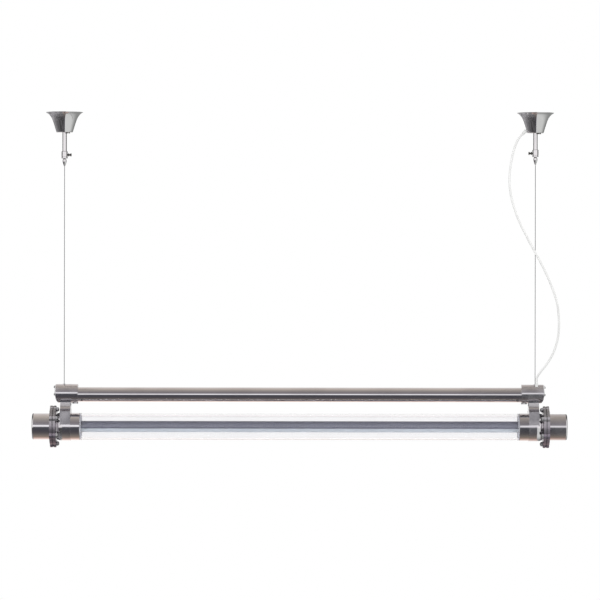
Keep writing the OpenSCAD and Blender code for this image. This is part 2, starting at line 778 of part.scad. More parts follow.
// The cord's end inside the right collar, from the relief down to the terminal
module cord_tail() {
    top_z = rail_z + rail_bore_r * 0.8;
    color(pale_cord) translate([cord_entry_x, cord_entry_y, lead_terminal_z])
        cylinder(h = top_z - lead_terminal_z, r = cord_d / 2);
}

module lead_terminal() {
    size = lead_terminal_size;
    screw_r = size[0] / 8;
    color(white_plastic) translate([lead_terminal_x, -size[1] * 0.72, lead_terminal_z - size[2]])
        difference() {
            cube(size);
            for (place = [0.28, 0.72])
                translate([size[0] * 0.8, size[1] * place, size[2] / 2])
                    cylinder(h = size[2], r = screw_r);
        }
}

// How much wider than the lead the ball at each of its corners is
corner_share = 1.05;

// A round lead through a list of corner points, with a ball at each corner
module lead_run(points, r) {
    for (i = [0 : len(points) - 2]) {
        way = points[i + 1] - points[i];
        reach = norm(way);
        translate(points[i])
            rotate([0, acos(way[2] / reach), way[0] == 0 && way[1] == 0 ? 0 : atan2(way[1], way[0])])
            cylinder(h = reach, r = r);
    }
    for (i = [1 : len(points) - 2]) translate(points[i]) sphere(r = r * corner_share);
}

lead_y = lead_d * 1.1;
lead_low_z = axis_z + (lamp_d / 2 + hub_bore_r) / 2 + running_fit;

// From the terminal, along the carrier tube and down the left neck to its lampholder
module lead_left() {
    rail_low_z = rail_z - sqrt(pow(rail_bore_r - lead_d / 2 - running_fit, 2) - pow(lead_y, 2));
    end_x = cap_floor_x - holder_depth;
    in_x = lead_terminal_x + lead_terminal_size[0] / 2;
    color(rubber) lead_run([
        [in_x, -lead_y, lead_terminal_z - lead_terminal_size[2]],
        [in_x, -lead_y, rail_low_z],
        [-neck_x, -lead_y, rail_low_z],
        [-neck_x, 0, rail_low_z],
        [-neck_x, 0, lead_low_z],
        [-end_x, 0, lead_low_z]
    ], lead_d / 2);
}

// From the terminal straight down the right neck to its lampholder
module lead_right() {
    end_x = cap_floor_x - holder_depth;
    start_z = lead_terminal_z - lead_terminal_size[2] / 2;
    color(rubber) lead_run([
        [lead_terminal_x, 0, start_z],
        [neck_x, 0, start_z],
        [neck_x, 0, lead_low_z],
        [end_x, 0, lead_low_z]
    ], lead_d / 2);
}

module gland_sleeve(side) {
    edge = sleeve_wall / 2;
    color(nickel) on_side(side) turned_x([
        [sleeve_bore_r, sleeve_x], [sleeve_r - edge, sleeve_x], [sleeve_r, sleeve_x + edge],
        [sleeve_r, hub_x], [sleeve_bore_r, hub_x]
    ], axis_z);
}

module gland_seals() {
    edge = sleeve_wall / 5;
    seal_r = sleeve_r - edge;
    color(clear) both_sides() turned_x([
        [tube_d / 2 + running_fit / 2, seal_x], [seal_r - edge, seal_x], [seal_r, seal_x + edge],
        [seal_r, sleeve_x], [tube_d / 2 + running_fit / 2, sleeve_x]
    ], axis_z);
}

module flange_gaskets() {
    color(rubber) both_sides() difference() {
        translate([gasket_x, 0, axis_z]) rotate([0, 90, 0])
            linear_extrude(gasket_t) flange_face(gasket_inset);
        rod_x(hub_bore_r, gasket_x - overrun, outer_flange_x + overrun, axis_z);
        bolt_holes(gasket_x, outer_flange_x);
    }
}

module end_cap(side) {
    color(nickel) on_side(side) difference() {
        union() {
            turned_x(concat(
                [[0, outer_flange_x], [cap_d / 2, outer_flange_x]],
                [[cap_d / 2, cap_end_x - cap_edge_r]],
                arc_points([cap_d / 2 - cap_edge_r, cap_end_x - cap_edge_r], cap_edge_r, cap_edge_r, 15, 90, 5),
                [[0, cap_end_x]]
            ), axis_z);
            flange_plate(outer_flange_x, flange_face_x);
        }
        rod_x(cap_bore_r, outer_flange_x - overrun, cap_floor_x, axis_z);
        bolt_holes(outer_flange_x, flange_face_x);
        at_bolts() translate([0, 0, flange_face_x - bolt_head_h])
            cylinder(h = bolt_head_h + overrun, r = bolt_head_d / 2 + running_fit);
        for (place = [-1, 1])
            rod_x(holder_screw_d / 2 + running_fit / 2, cap_floor_x - overrun,
                cap_end_x - cap_end_wall / 3, holder_screw_z, place * holder_foot_width / 4);
    }
}

module flange_bolts() {
    tail_x = inner_flange_x - nut_h - bolt_tail;
    socket_af = bolt_d / 1.5;
    color(dark_nickel) both_sides() at_bolts() {
        translate([0, 0, tail_x]) cylinder(h = flange_face_x - bolt_head_h - tail_x, r = bolt_d / 2);
        translate([0, 0, flange_face_x - bolt_head_h]) difference() {
            cylinder(h = bolt_head_h, r = bolt_head_d / 2);
            translate([0, 0, bolt_head_h / 2]) hex_bar(socket_af, bolt_head_h);
        }
    }
}

module flange_nuts() {
    color(steel) both_sides() at_bolts() translate([0, 0, inner_flange_x - nut_h]) difference() {
        intersection() {
            rotate([0, 0, 30]) hex_bar(nut_af, nut_h);
            cylinder(h = nut_h, r1 = nut_af * 0.53, r2 = nut_af * 0.62);
        }
        translate([0, 0, -overrun]) cylinder(h = nut_h + 2 * overrun, r = bolt_d / 2 + running_fit / 2);
    }
}

module acrylic_tube() {
    color(clear) ring_x(tube_d / 2, tube_bore_r, -tube_end_x, tube_end_x, axis_z);
}

module lampholder(side) {
    face_x = cap_floor_x - holder_depth;
    rotor_r = rotor_d / 2 + running_fit;
    foot_z = axis_z - holder_foot_reach;
    color(white_plastic) on_side(side) difference() {
        union() {
            rod_x(holder_head_r, face_x, cap_floor_x, axis_z);
            translate([face_x, -holder_foot_width / 2, foot_z])
                cube([holder_depth, holder_foot_width, holder_foot_reach]);
        }
        rod_x(rotor_r, face_x - overrun, face_x + rotor_depth + seat_gap, axis_z);
        for (place = [-1, 1])
            rod_x(holder_screw_d / 2 + running_fit / 2, face_x - overrun, cap_floor_x + overrun,
                holder_screw_z, place * holder_foot_width / 4);
    }
}

module holder_rotor(side) {
    face_x = cap_floor_x - holder_depth;
    groove = pin_d / 2;
    color(milky) on_side(side) difference() {
        rod_x(rotor_d / 2, face_x, face_x + rotor_depth, axis_z);
        for (place = [-1, 1])
            rod_x(pin_d / 2 + running_fit, face_x - overrun, face_x + pin_length + loose_fit,
                axis_z, place * pin_pitch / 2);
        translate([face_x - overrun, -rotor_d, axis_z - groove / 2])
            cube([overrun + groove / 2, 2 * rotor_d, groove]);
    }
}

module holder_screws() {
    head_h = holder_screw_d * 0.6;
    face_x = cap_floor_x - holder_depth;
    color(steel) both_sides() for (place = [-1, 1]) {
        y = place * holder_foot_width / 4;
        rod_x(holder_screw_d / 2, face_x, cap_floor_x + cap_end_wall / 2, holder_screw_z, y);
        rod_x(holder_screw_d * 0.9, face_x - head_h, face_x, holder_screw_z, y);
    }
}

lamp_inner_x = lamp_length / 2 - base_length;

// A shell along the lamp, cut to the part above or below the split
module lamp_shell(wall, above) {
    lamp_r = lamp_d / 2;
    split_z = axis_z - back_drop;
    intersection() {
        ring_x(lamp_r, lamp_r - wall, -lamp_inner_x, lamp_inner_x, axis_z);
        translate([-lamp_length / 2, -lamp_d, above ? split_z : split_z - 2 * lamp_d])
            cube([lamp_length, 2 * lamp_d, 2 * lamp_d]);
    }
}

module lamp_back() {
    ledge_half = sqrt(pow(lamp_d / 2 - lamp_wall / 2, 2) - pow(back_drop, 2));
    color(aluminium) {
        lamp_shell(lamp_wall, true);
        translate([-lamp_inner_x, -ledge_half, axis_z - back_drop + board_thick])
            cube([2 * lamp_inner_x, 2 * ledge_half, lamp_wall]);
    }
}

module lamp_diffuser() {
    color(milky) lamp_shell(diffuser_wall, false);
}

module lamp_board() {
    color(copper_board) translate([-lamp_inner_x, -board_width / 2, axis_z - back_drop])
        cube([2 * lamp_inner_x, board_width, board_thick]);
}

module lamp_bases() {
    r = lamp_d / 2 + base_lip;
    edge = base_lip * 3;
    end_x = lamp_length / 2;
    color(steel) both_sides() turned_x([
        [0, lamp_inner_x], [r, lamp_inner_x], [r, end_x - edge], [r - edge, end_x], [0, end_x]
    ], axis_z);
}

module lamp_pins() {
    end_x = lamp_length / 2;
    color(nickel) both_sides() for (place = [-1, 1])
        rod_x(pin_d / 2, end_x, end_x + pin_length, axis_z, place * pin_pitch / 2);
}

// A point on the smooth curve through four route points, at share t of the middle stretch
function between(a, b, c, d, t) =
    0.5 * (2 * b + (c - a) * t + (2 * a - 5 * b + 4 * c - d) * t * t
        + (3 * b - a - 3 * c + d) * t * t * t);

function route_point(route, i) =
    i < 0 ? 2 * route[0] - route[1]
    : i > len(route) - 1 ? 2 * route[len(route) - 1] - route[len(route) - 2]
    : route[i];

function smooth_route(route, steps) = concat(
    [
        for (i = [0 : len(route) - 2], k = [0 : steps - 1])
            between(route_point(route, i - 1), route[i], route[i + 1], route_point(route, i + 2), k / steps)
    ],
    [route[len(route) - 1]]
);

// A tube along a line of points that stays near one upright plane
module swept_tube(line, r, sides) {
    last = len(line) - 1;
    rings = [
        for (i = [0 : last])
            let (
                ahead = line[min(i + 1, last)] - line[max(i - 1, 0)],
                along = ahead / norm(ahead),
                across = cross(along, [0, 1, 0]) / norm(cross(along, [0, 1, 0])),
                over = cross(along, across)
            )
            for (k = [0 : sides - 1])
                line[i] + r * (across * cos(k * 360 / sides) + over * sin(k * 360 / sides))
    ];
    walls = [
        for (i = [0 : last - 1], k = [0 : sides - 1])
            let (a = i * sides + k, b = i * sides + (k + 1) % sides)
            each [[a, b + sides, b], [a, a + sides, b + sides]]
    ];
    caps = [
        for (k = [1 : sides - 2])
            each [[0, k, k + 1], [last * sides, last * sides + k + 1, last * sides + k]]
    ];
    polyhedron(points = rings, faces = concat(walls, caps));
}

module power_cord() {
    color(pale_cord) swept_tube(smooth_route(cord_route, cord_steps), cord_d / 2, cord_sides);
}

ceiling_strap(LEFT);  // ceiling_strap_left
ceiling_strap(RIGHT);  // ceiling_strap_right
stem(LEFT);  // stem_left
stem(RIGHT);  // stem_right
stem_nuts();
supply_terminal();
wire_clamp(LEFT);  // wire_clamp_left
wire_clamp(RIGHT);  // wire_clamp_right
wire_guide(LEFT);  // wire_guide_left
wire_guide(RIGHT);  // wire_guide_right
wire_tails();
canopy(LEFT);  // canopy_left
canopy(RIGHT);  // canopy_right
canopy_grip(LEFT);  // canopy_grip_left
canopy_grip(RIGHT);  // canopy_grip_right
canopy_screws(LEFT);  // canopy_screws_left
canopy_screws(RIGHT);  // canopy_screws_right
canopy_cord_relief();
thumbscrew(LEFT);  // thumbscrew_left
thumbscrew(RIGHT);  // thumbscrew_right
suspension_wire(LEFT);  // suspension_wire_left
suspension_wire(RIGHT);  // suspension_wire_right
carrier_tube();
end_bracket(LEFT);  // end_bracket_left
end_bracket(RIGHT);  // end_bracket_right
collar_cover(LEFT);  // collar_cover_left
collar_cover(RIGHT);  // collar_cover_right
cover_screws();
tube_set_screws();
wire_anchors();
collar_cord_relief();
cord_tail();
lead_terminal();
lead_left();
lead_right();
gland_sleeve(LEFT);  // gland_sleeve_left
gland_sleeve(RIGHT);  // gland_sleeve_right
gland_seals();
flange_gaskets();
end_cap(LEFT);  // end_cap_left
end_cap(RIGHT);  // end_cap_right
flange_bolts();
flange_nuts();
acrylic_tube();
lampholder(LEFT);  // lampholder_left
lampholder(RIGHT);  // lampholder_right
holder_rotor(LEFT);  // holder_rotor_left
holder_rotor(RIGHT);  // holder_rotor_right
holder_screws();
lamp_back();
lamp_diffuser();
lamp_board();
lamp_bases();
lamp_pins();
power_cord();
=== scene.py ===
"""Acrylic tube pendant light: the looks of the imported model, in metres.

The CAD nodes carry every rigid shape. This script dresses them, spins the canopies and wire
guides smoothly in place of the CAD ones, adds the stranded wires and the power cord, and sets up
the camera and the studio.
"""

import json
import logging
import math
from collections.abc import Callable, Sequence
from dataclasses import dataclass, field
from enum import Enum

import bmesh
import bpy
from mathutils import Matrix, Vector


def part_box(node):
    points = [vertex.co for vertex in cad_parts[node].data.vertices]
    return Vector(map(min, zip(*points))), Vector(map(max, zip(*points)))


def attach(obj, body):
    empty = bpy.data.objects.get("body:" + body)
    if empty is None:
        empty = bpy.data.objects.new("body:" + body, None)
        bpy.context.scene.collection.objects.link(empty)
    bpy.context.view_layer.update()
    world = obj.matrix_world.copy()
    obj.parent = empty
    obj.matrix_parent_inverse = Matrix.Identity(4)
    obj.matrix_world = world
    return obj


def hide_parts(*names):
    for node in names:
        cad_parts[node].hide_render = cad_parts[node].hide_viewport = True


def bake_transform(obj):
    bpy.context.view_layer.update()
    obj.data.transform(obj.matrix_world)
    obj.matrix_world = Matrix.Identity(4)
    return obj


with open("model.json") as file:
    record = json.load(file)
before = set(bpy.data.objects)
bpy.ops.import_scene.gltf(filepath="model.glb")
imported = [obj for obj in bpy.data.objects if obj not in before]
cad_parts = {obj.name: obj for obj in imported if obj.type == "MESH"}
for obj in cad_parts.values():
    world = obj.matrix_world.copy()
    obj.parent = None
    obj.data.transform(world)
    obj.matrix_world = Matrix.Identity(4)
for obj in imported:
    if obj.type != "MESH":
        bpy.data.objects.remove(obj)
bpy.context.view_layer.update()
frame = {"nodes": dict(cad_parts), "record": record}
log = logging.getLogger("pendant")

Point = tuple[float, float, float]
Colour = tuple[float, float, float]
Limits = tuple[float, float]
Slope = tuple[float, float, float, float]  # two limits, then the values at them

CLOUD_EDGES: Limits = (0.35, 0.7)  # noise values where a cloudy mark sets in and is full
SPECK_EDGES: Limits = (0.62, 0.78)  # the same for a fine speck
LINE_STRETCH = 0.01  # scale of the drawn lines' noise along X, against 1 across it
BUMP_STRENGTH = 0.6
NEAR = 1e-5  # metres within which a vertex lies on a given ring


class Side(Enum):
    """The two ends of the lamp, with the sign of their X."""

    LEFT = -1
    RIGHT = 1

    @property
    def label(self) -> str:
        """The side's name as the CAD nodes write it."""
        return self.name.lower()


# ---------------------------------------------------------------- node helpers


class Sheet:
    """A node tree with short calls for adding and joining nodes."""

    def __init__(self, tree: bpy.types.NodeTree) -> None:
        """Takes the tree that the calls work on.

        Args:
            tree: the shader tree or node group.
        """
        self.tree = tree

    def add(self, kind: str, **values: object) -> bpy.types.Node:
        """Adds a node and sets its plain properties.

        Args:
            kind: the node's type, without the ShaderNode prefix.
            values: properties of the node by name.

        Returns:
            The new node.
        """
        node = self.tree.nodes.new("ShaderNode" + kind)
        for name, value in values.items():
            setattr(node, name, value)
        return node

    def join(self, source: bpy.types.NodeSocket, target: bpy.types.NodeSocket) -> None:
        """Links one socket to another."""
        self.tree.links.new(source, target)

    def math(self, operation: str, *inputs: object) -> bpy.types.NodeSocket:
        """Adds a Math node.

        Args:
            operation: the node's operation.
            inputs: sockets or plain numbers, in order.

        Returns:
            The node's output.
        """
        node = self.add("Math", operation=operation)
        for socket, value in zip(node.inputs, inputs):
            if isinstance(value, bpy.types.NodeSocket):
                self.join(value, socket)
            else:
                socket.default_value = value
        return node.outputs[0]

    def spread(self, value: bpy.types.NodeSocket, low: float, high: float, to_low: float = 0.0,
               to_high: float = 1.0, smooth: bool = True) -> bpy.types.NodeSocket:
        """Maps a value from one range to another, held at both ends.

        Args:
            value: the socket to map.
            low: the value that becomes to_low.
            high: the value that becomes to_high.
            to_low: result at low.
            to_high: result at high.
            smooth: whether the change eases in and out.

        Returns:
            The mapped value.
        """
        node = self.add("MapRange", interpolation_type="SMOOTHSTEP" if smooth else "LINEAR")
        self.join(value, node.inputs["Value"])
        limits = {"From Min": low, "From Max": high, "To Min": to_low, "To Max": to_high}
        for name, number in limits.items():
            node.inputs[name].default_value = number
        return node.outputs["Result"]

    def blend(self, factor: object, a: object, b: object) -> bpy.types.NodeSocket:
        """Mixes two colours.

        Args:
            factor: share of b, a socket or a number.
            a: first colour, a socket or three numbers.
            b: second colour, a socket or three numbers.

        Returns:
            The mixed colour.
        """
        node = self.add("Mix", data_type="RGBA")
        sockets = (node.inputs["Factor"], node.inputs[6], node.inputs[7])
        for socket, value in zip(sockets, (factor, a, b)):
            if isinstance(value, bpy.types.NodeSocket):
                self.join(value, socket)
            elif isinstance(value, (int, float)):
                socket.default_value = value
            else:
                socket.default_value = (*value, 1.0)
        return node.outputs[2]


def group(name: str, inputs: dict[str, float], outputs: Sequence[str],
          build: Callable[[Sheet, bpy.types.Node, bpy.types.Node], None]) -> bpy.types.NodeTree:
    """Makes a shader node group once and hands back the same one later.

    Args:
        name: the group's name.
        inputs: its number inputs with their defaults.
        outputs: its number outputs.
        build: fills the group, given its sheet, input node and output node.

    Returns:
        The group's tree.
    """
    if name in bpy.data.node_groups:
        return bpy.data.node_groups[name]
    tree = bpy.data.node_groups.new(name, "ShaderNodeTree")
    for label, value in inputs.items():
        given = tree.interface.new_socket(label, in_out="INPUT", socket_type="NodeSocketFloat")
        given.default_value = value
    for label in outputs:
        tree.interface.new_socket(label, in_out="OUTPUT", socket_type="NodeSocketFloat")
    build(Sheet(tree), tree.nodes.new("NodeGroupInput"), tree.nodes.new("NodeGroupOutput"))
    return tree


def handling(sheet: Sheet, given: bpy.types.Node, result: bpy.types.Node) -> None:
    """Fills the group for faint cloudy handling marks and fine dust.

    Args:
        sheet: the group's sheet.
        given: its input node.
        result: its output node.
    """
    place = sheet.add("TexCoord").outputs["Object"]
    cloud = sheet.add("TexNoise", noise_dimensions="3D")
    cloud.inputs["Detail"].default_value = 4.0
    speck = sheet.add("TexNoise", noise_dimensions="3D")
    speck.inputs["Detail"].default_value = 2.0
    for node, name in ((cloud, "Cloud Scale"), (speck, "Speck Scale")):
        sheet.join(place, node.inputs["Vector"])
        sheet.join(given.outputs[name], node.inputs["Scale"])
    sheet.join(sheet.spread(cloud.outputs["Fac"], *CLOUD_EDGES), result.inputs["Marks"])
    sheet.join(sheet.spread(speck.outputs["Fac"], *SPECK_EDGES), result.inputs["Specks"])


def drawn_lines(sheet: Sheet, given: bpy.types.Node, result: bpy.types.Node) -> None:
    """Fills the group for fine lines drawn along X, as on an extrusion.

    Args:
        sheet: the group's sheet.
        given: its input node.
        result: its output node.
    """
    place = sheet.add("Mapping")
    sheet.join(sheet.add("TexCoord").outputs["Object"], place.inputs["Vector"])
    place.inputs["Scale"].default_value = (LINE_STRETCH, 1.0, 1.0)
    noise = sheet.add("TexNoise", noise_dimensions="3D")
    noise.inputs["Detail"].default_value = 3.0
    sheet.join(place.outputs["Vector"], noise.inputs["Vector"])
    sheet.join(given.outputs["Line Scale"], noise.inputs["Scale"])
    sheet.join(noise.outputs["Fac"], result.inputs["Lines"])


def turned_rings(sheet: Sheet, given: bpy.types.Node, result: bpy.types.Node) -> None:
    """Fills the group for fine rings that turning leaves about an axis along X.

    Args:
        sheet: the group's sheet.
        given: its input node.
        result: its output node.
    """
    place = sheet.add("SeparateXYZ")
    sheet.join(sheet.add("TexCoord").outputs["Object"], place.inputs[0])
    _, y, z = place.outputs
    high = sheet.math("SUBTRACT", z, given.outputs["Axis Z"])
    reach = sheet.math("SQRT", sheet.math("ADD", sheet.math("MULTIPLY", y, y),
                                          sheet.math("MULTIPLY", high, high)))
    noise = sheet.add("TexNoise", noise_dimensions="1D")
    noise.inputs["Detail"].default_value = 2.0
    sheet.join(reach, noise.inputs["W"])
    sheet.join(given.outputs["Ring Scale"], noise.inputs["Scale"])
    sheet.join(noise.outputs["Fac"], result.inputs["Rings"])
    sheet.join(reach, result.inputs["Reach"])


def handling_group() -> bpy.types.NodeTree:
    """The shared group of handling marks."""
    return group("handling_marks", {"Cloud Scale": 14.0, "Speck Scale": 900.0},
                 ("Marks", "Specks"), handling)


def lines_group() -> bpy.types.NodeTree:
    """The shared group of drawn lines."""
    return group("drawn_lines", {"Line Scale": 1500.0}, ("Lines",), drawn_lines)


def rings_group() -> bpy.types.NodeTree:
    """The shared group of turned rings."""
    return group("turned_rings", {"Axis Z": 0.0, "Ring Scale": 2200.0}, ("Rings", "Reach"),
                 turned_rings)


# -------------------------------------------------------------------- finishes


@dataclass(frozen=True)
class Finish:
    """A surface with faint handling marks, fine relief and even colour variation.

    Attributes:
        name: the material's name.
        slot: the record's material slot.
        colour: base colour, linear.
        shade: colour that the marks lean to.
        roughness: roughness between the marks.
        marked: roughness inside the marks.
        metallic: 1 for bare or plated metal.
        relief: height of the fine relief in metres, or 0 for none.
        cloud_scale: scale of the cloudy marks.
        speck_scale: scale of the fine specks.
        lines: whether fine lines run along X.
        plain: other shader sockets with their plain values.
    """

    name: str
    slot: str
    colour: Colour
    shade: Colour
    roughness: float
    marked: float
    metallic: float = 0.0
    relief: float = 0.00002
    cloud_scale: float = 14.0
    speck_scale: float = 900.0
    lines: bool = False
    plain: dict[str, object] = field(default_factory=dict)

    def material(self) -> bpy.types.Material:
        """The finish as a material, made on first use.

        Returns:
            The Blender material.
        """
        if self.name in bpy.data.materials:
            return bpy.data.materials[self.name]
        made = bpy.data.materials.new(self.name)
        made.use_nodes = True
        sheet = Sheet(made.node_tree)
        shader = made.node_tree.nodes["Principled BSDF"]
        shader.inputs["Metallic"].default_value = self.metallic
        for name, value in self.plain.items():
            shader.inputs[name].default_value = value
        marks = sheet.add("Group", node_tree=handling_group())
        marks.inputs["Cloud Scale"].default_value = self.cloud_scale
        marks.inputs["Speck Scale"].default_value = self.speck_scale
        height = marks.outputs["Specks"]
        tone = marks.outputs["Marks"]
        if self.lines:
            drawn = sheet.add("Group", node_tree=lines_group())
            height = drawn.outputs["Lines"]
            tone = sheet.math("MULTIPLY", drawn.outputs["Lines"], marks.outputs["Marks"])
        sheet.join(sheet.blend(tone, self.colour, self.shade), shader.inputs["Base Color"])
        sheet.join(sheet.spread(tone, 0.0, 1.0, self.roughness, self.marked, False),
                   shader.inputs["Roughness"])
        if self.relief:
            bump = sheet.add("Bump")
            bump.inputs["Distance"].default_value = self.relief
            bump.inputs["Strength"].default_value = BUMP_STRENGTH
            sheet.join(height, bump.inputs["Height"])
            sheet.join(bump.outputs["Normal"], shader.inputs["Normal"])
        self.finish_off(sheet, shader)
        return made

    def finish_off(self, sheet: Sheet, shader: bpy.types.Node) -> None:
        """Adds what a special finish needs; the plain one needs nothing.

        Args:
            sheet: the material's sheet.
            shader: its Principled BSDF.
        """

    def dress(self, thing: bpy.types.Object) -> None:
        """Gives an object this finish on every slot.

        Args:
            thing: the object to dress.
        """
        if not thing.material_slots:
            thing.data.materials.append(self.material())
        for place in thing.material_slots:
            place.material = self.material()


NICKEL = Finish("polished_nickel_finish", "polished_nickel", (0.66, 0.64, 0.65), (0.6, 0.58, 0.59),
                0.05, 0.1, metallic=1.0, relief=0.000002, cloud_scale=11.0)
BLACK_STEEL = Finish("blackened_steel_finish", "dark_screws", (0.06, 0.058, 0.056),
                     (0.12, 0.115, 0.11), 0.3, 0.42, metallic=0.9, cloud_scale=90.0)
ZINC = Finish("zinc_plate_finish", "zinc_steel", (0.48, 0.48, 0.49), (0.4, 0.4, 0.42),
              0.28, 0.4, metallic=1.0, cloud_scale=60.0)
PALE_COVER = Finish("pale_cover_finish", "zinc_steel", (0.84, 0.84, 0.85), (0.78, 0.78, 0.79),
                    0.34, 0.44, metallic=0.35, cloud_scale=60.0)
WIRE = Finish("wire_rope_finish", "wire_rope", (0.14, 0.14, 0.15), (0.11, 0.11, 0.12),
              0.6, 0.7, metallic=0.3, relief=0.0, cloud_scale=200.0)
LAMP_METAL = Finish("anodised_lamp_finish", "lamp_aluminium", (0.2, 0.206, 0.28),
                    (0.175, 0.18, 0.248), 0.42, 0.5, metallic=0.25, lines=True)
LAMP_MILKY = Finish("milky_diffuser_finish", "lamp_milky", (0.83, 0.9, 1.0), (0.81, 0.88, 0.99),
                    0.3, 0.4, relief=0.00001,
                    plain={"Subsurface Weight": 0.15, "Subsurface Radius": (0.004, 0.004, 0.004)})
RUBBER = Finish("black_rubber_finish", "black_rubber", (0.02, 0.02, 0.022), (0.035, 0.035, 0.036),
                0.6, 0.75, cloud_scale=80.0)
LAMPHOLDER = Finish("white_plastic_finish", "white_plastic", (0.78, 0.78, 0.75), (0.72, 0.72, 0.69),
                    0.36, 0.46, cloud_scale=60.0)
BOARD = Finish("board_finish", "board", (0.75, 0.76, 0.73), (0.7, 0.71, 0.67), 0.4, 0.5)
CORD = Finish("cord_sheath_finish", "pale_cord", (0.69, 0.69, 0.685), (0.65, 0.65, 0.645),
              0.62, 0.72, relief=0.0, cloud_scale=50.0, speck_scale=1400.0,
              plain={"Specular IOR Level": 0.15})


@dataclass(frozen=True)
class ClearPlastic(Finish):
    """A see-through plastic with faint handling marks in its gloss.

    Attributes:
        clearness: share of the light that passes rather than scatters.
        unmirrored: share of it that polished metal nearby looks straight through.
        edge: colour where it is seen along its wall and light crosses more of it.
        slant: how far the wall leans from the view where that colour sets in and is full.
    """

    clearness: float = 1.0
    unmirrored: float = 0.9
    edge: Colour = (0.9, 0.9, 0.915)
    slant: Limits = (0.35, 0.9)

    def finish_off(self, sheet: Sheet, shader: bpy.types.Node) -> None:
        """Lets light through, and lets what other surfaces mirror pass from outside.

        Args:
            sheet: the material's sheet.
            shader: its Principled BSDF.
        """
        shader.inputs["Transmission Weight"].default_value = self.clearness
        along = sheet.spread(sheet.add("LayerWeight").outputs["Facing"], *self.slant)
        colour = shader.inputs["Base Color"]
        sheet.join(sheet.blend(along, colour.links[0].from_socket, self.edge), colour)
        path = sheet.add("LightPath")
        mirrored = sheet.math("SUBTRACT", path.outputs["Is Glossy Ray"],
                              path.outputs["Is Transmission Ray"])
        unpierced = sheet.math("LESS_THAN", path.outputs["Transparent Depth"], 1.0)
        inside = sheet.math("MULTIPLY", sheet.add("NewGeometry").outputs["Backfacing"], unpierced)
        outside = sheet.math("MULTIPLY", sheet.math("SUBTRACT", 1.0, inside), self.unmirrored)
        passed = sheet.math("MAXIMUM", sheet.math("MULTIPLY", mirrored, outside), 0.0)
        mix = sheet.add("MixShader")
        sheet.join(passed, mix.inputs[0])
        sheet.join(shader.outputs[0], mix.inputs[1])
        sheet.join(sheet.add("BsdfTransparent").outputs[0], mix.inputs[2])
        sheet.join(mix.outputs[0], sheet.tree.nodes["Material Output"].inputs["Surface"])


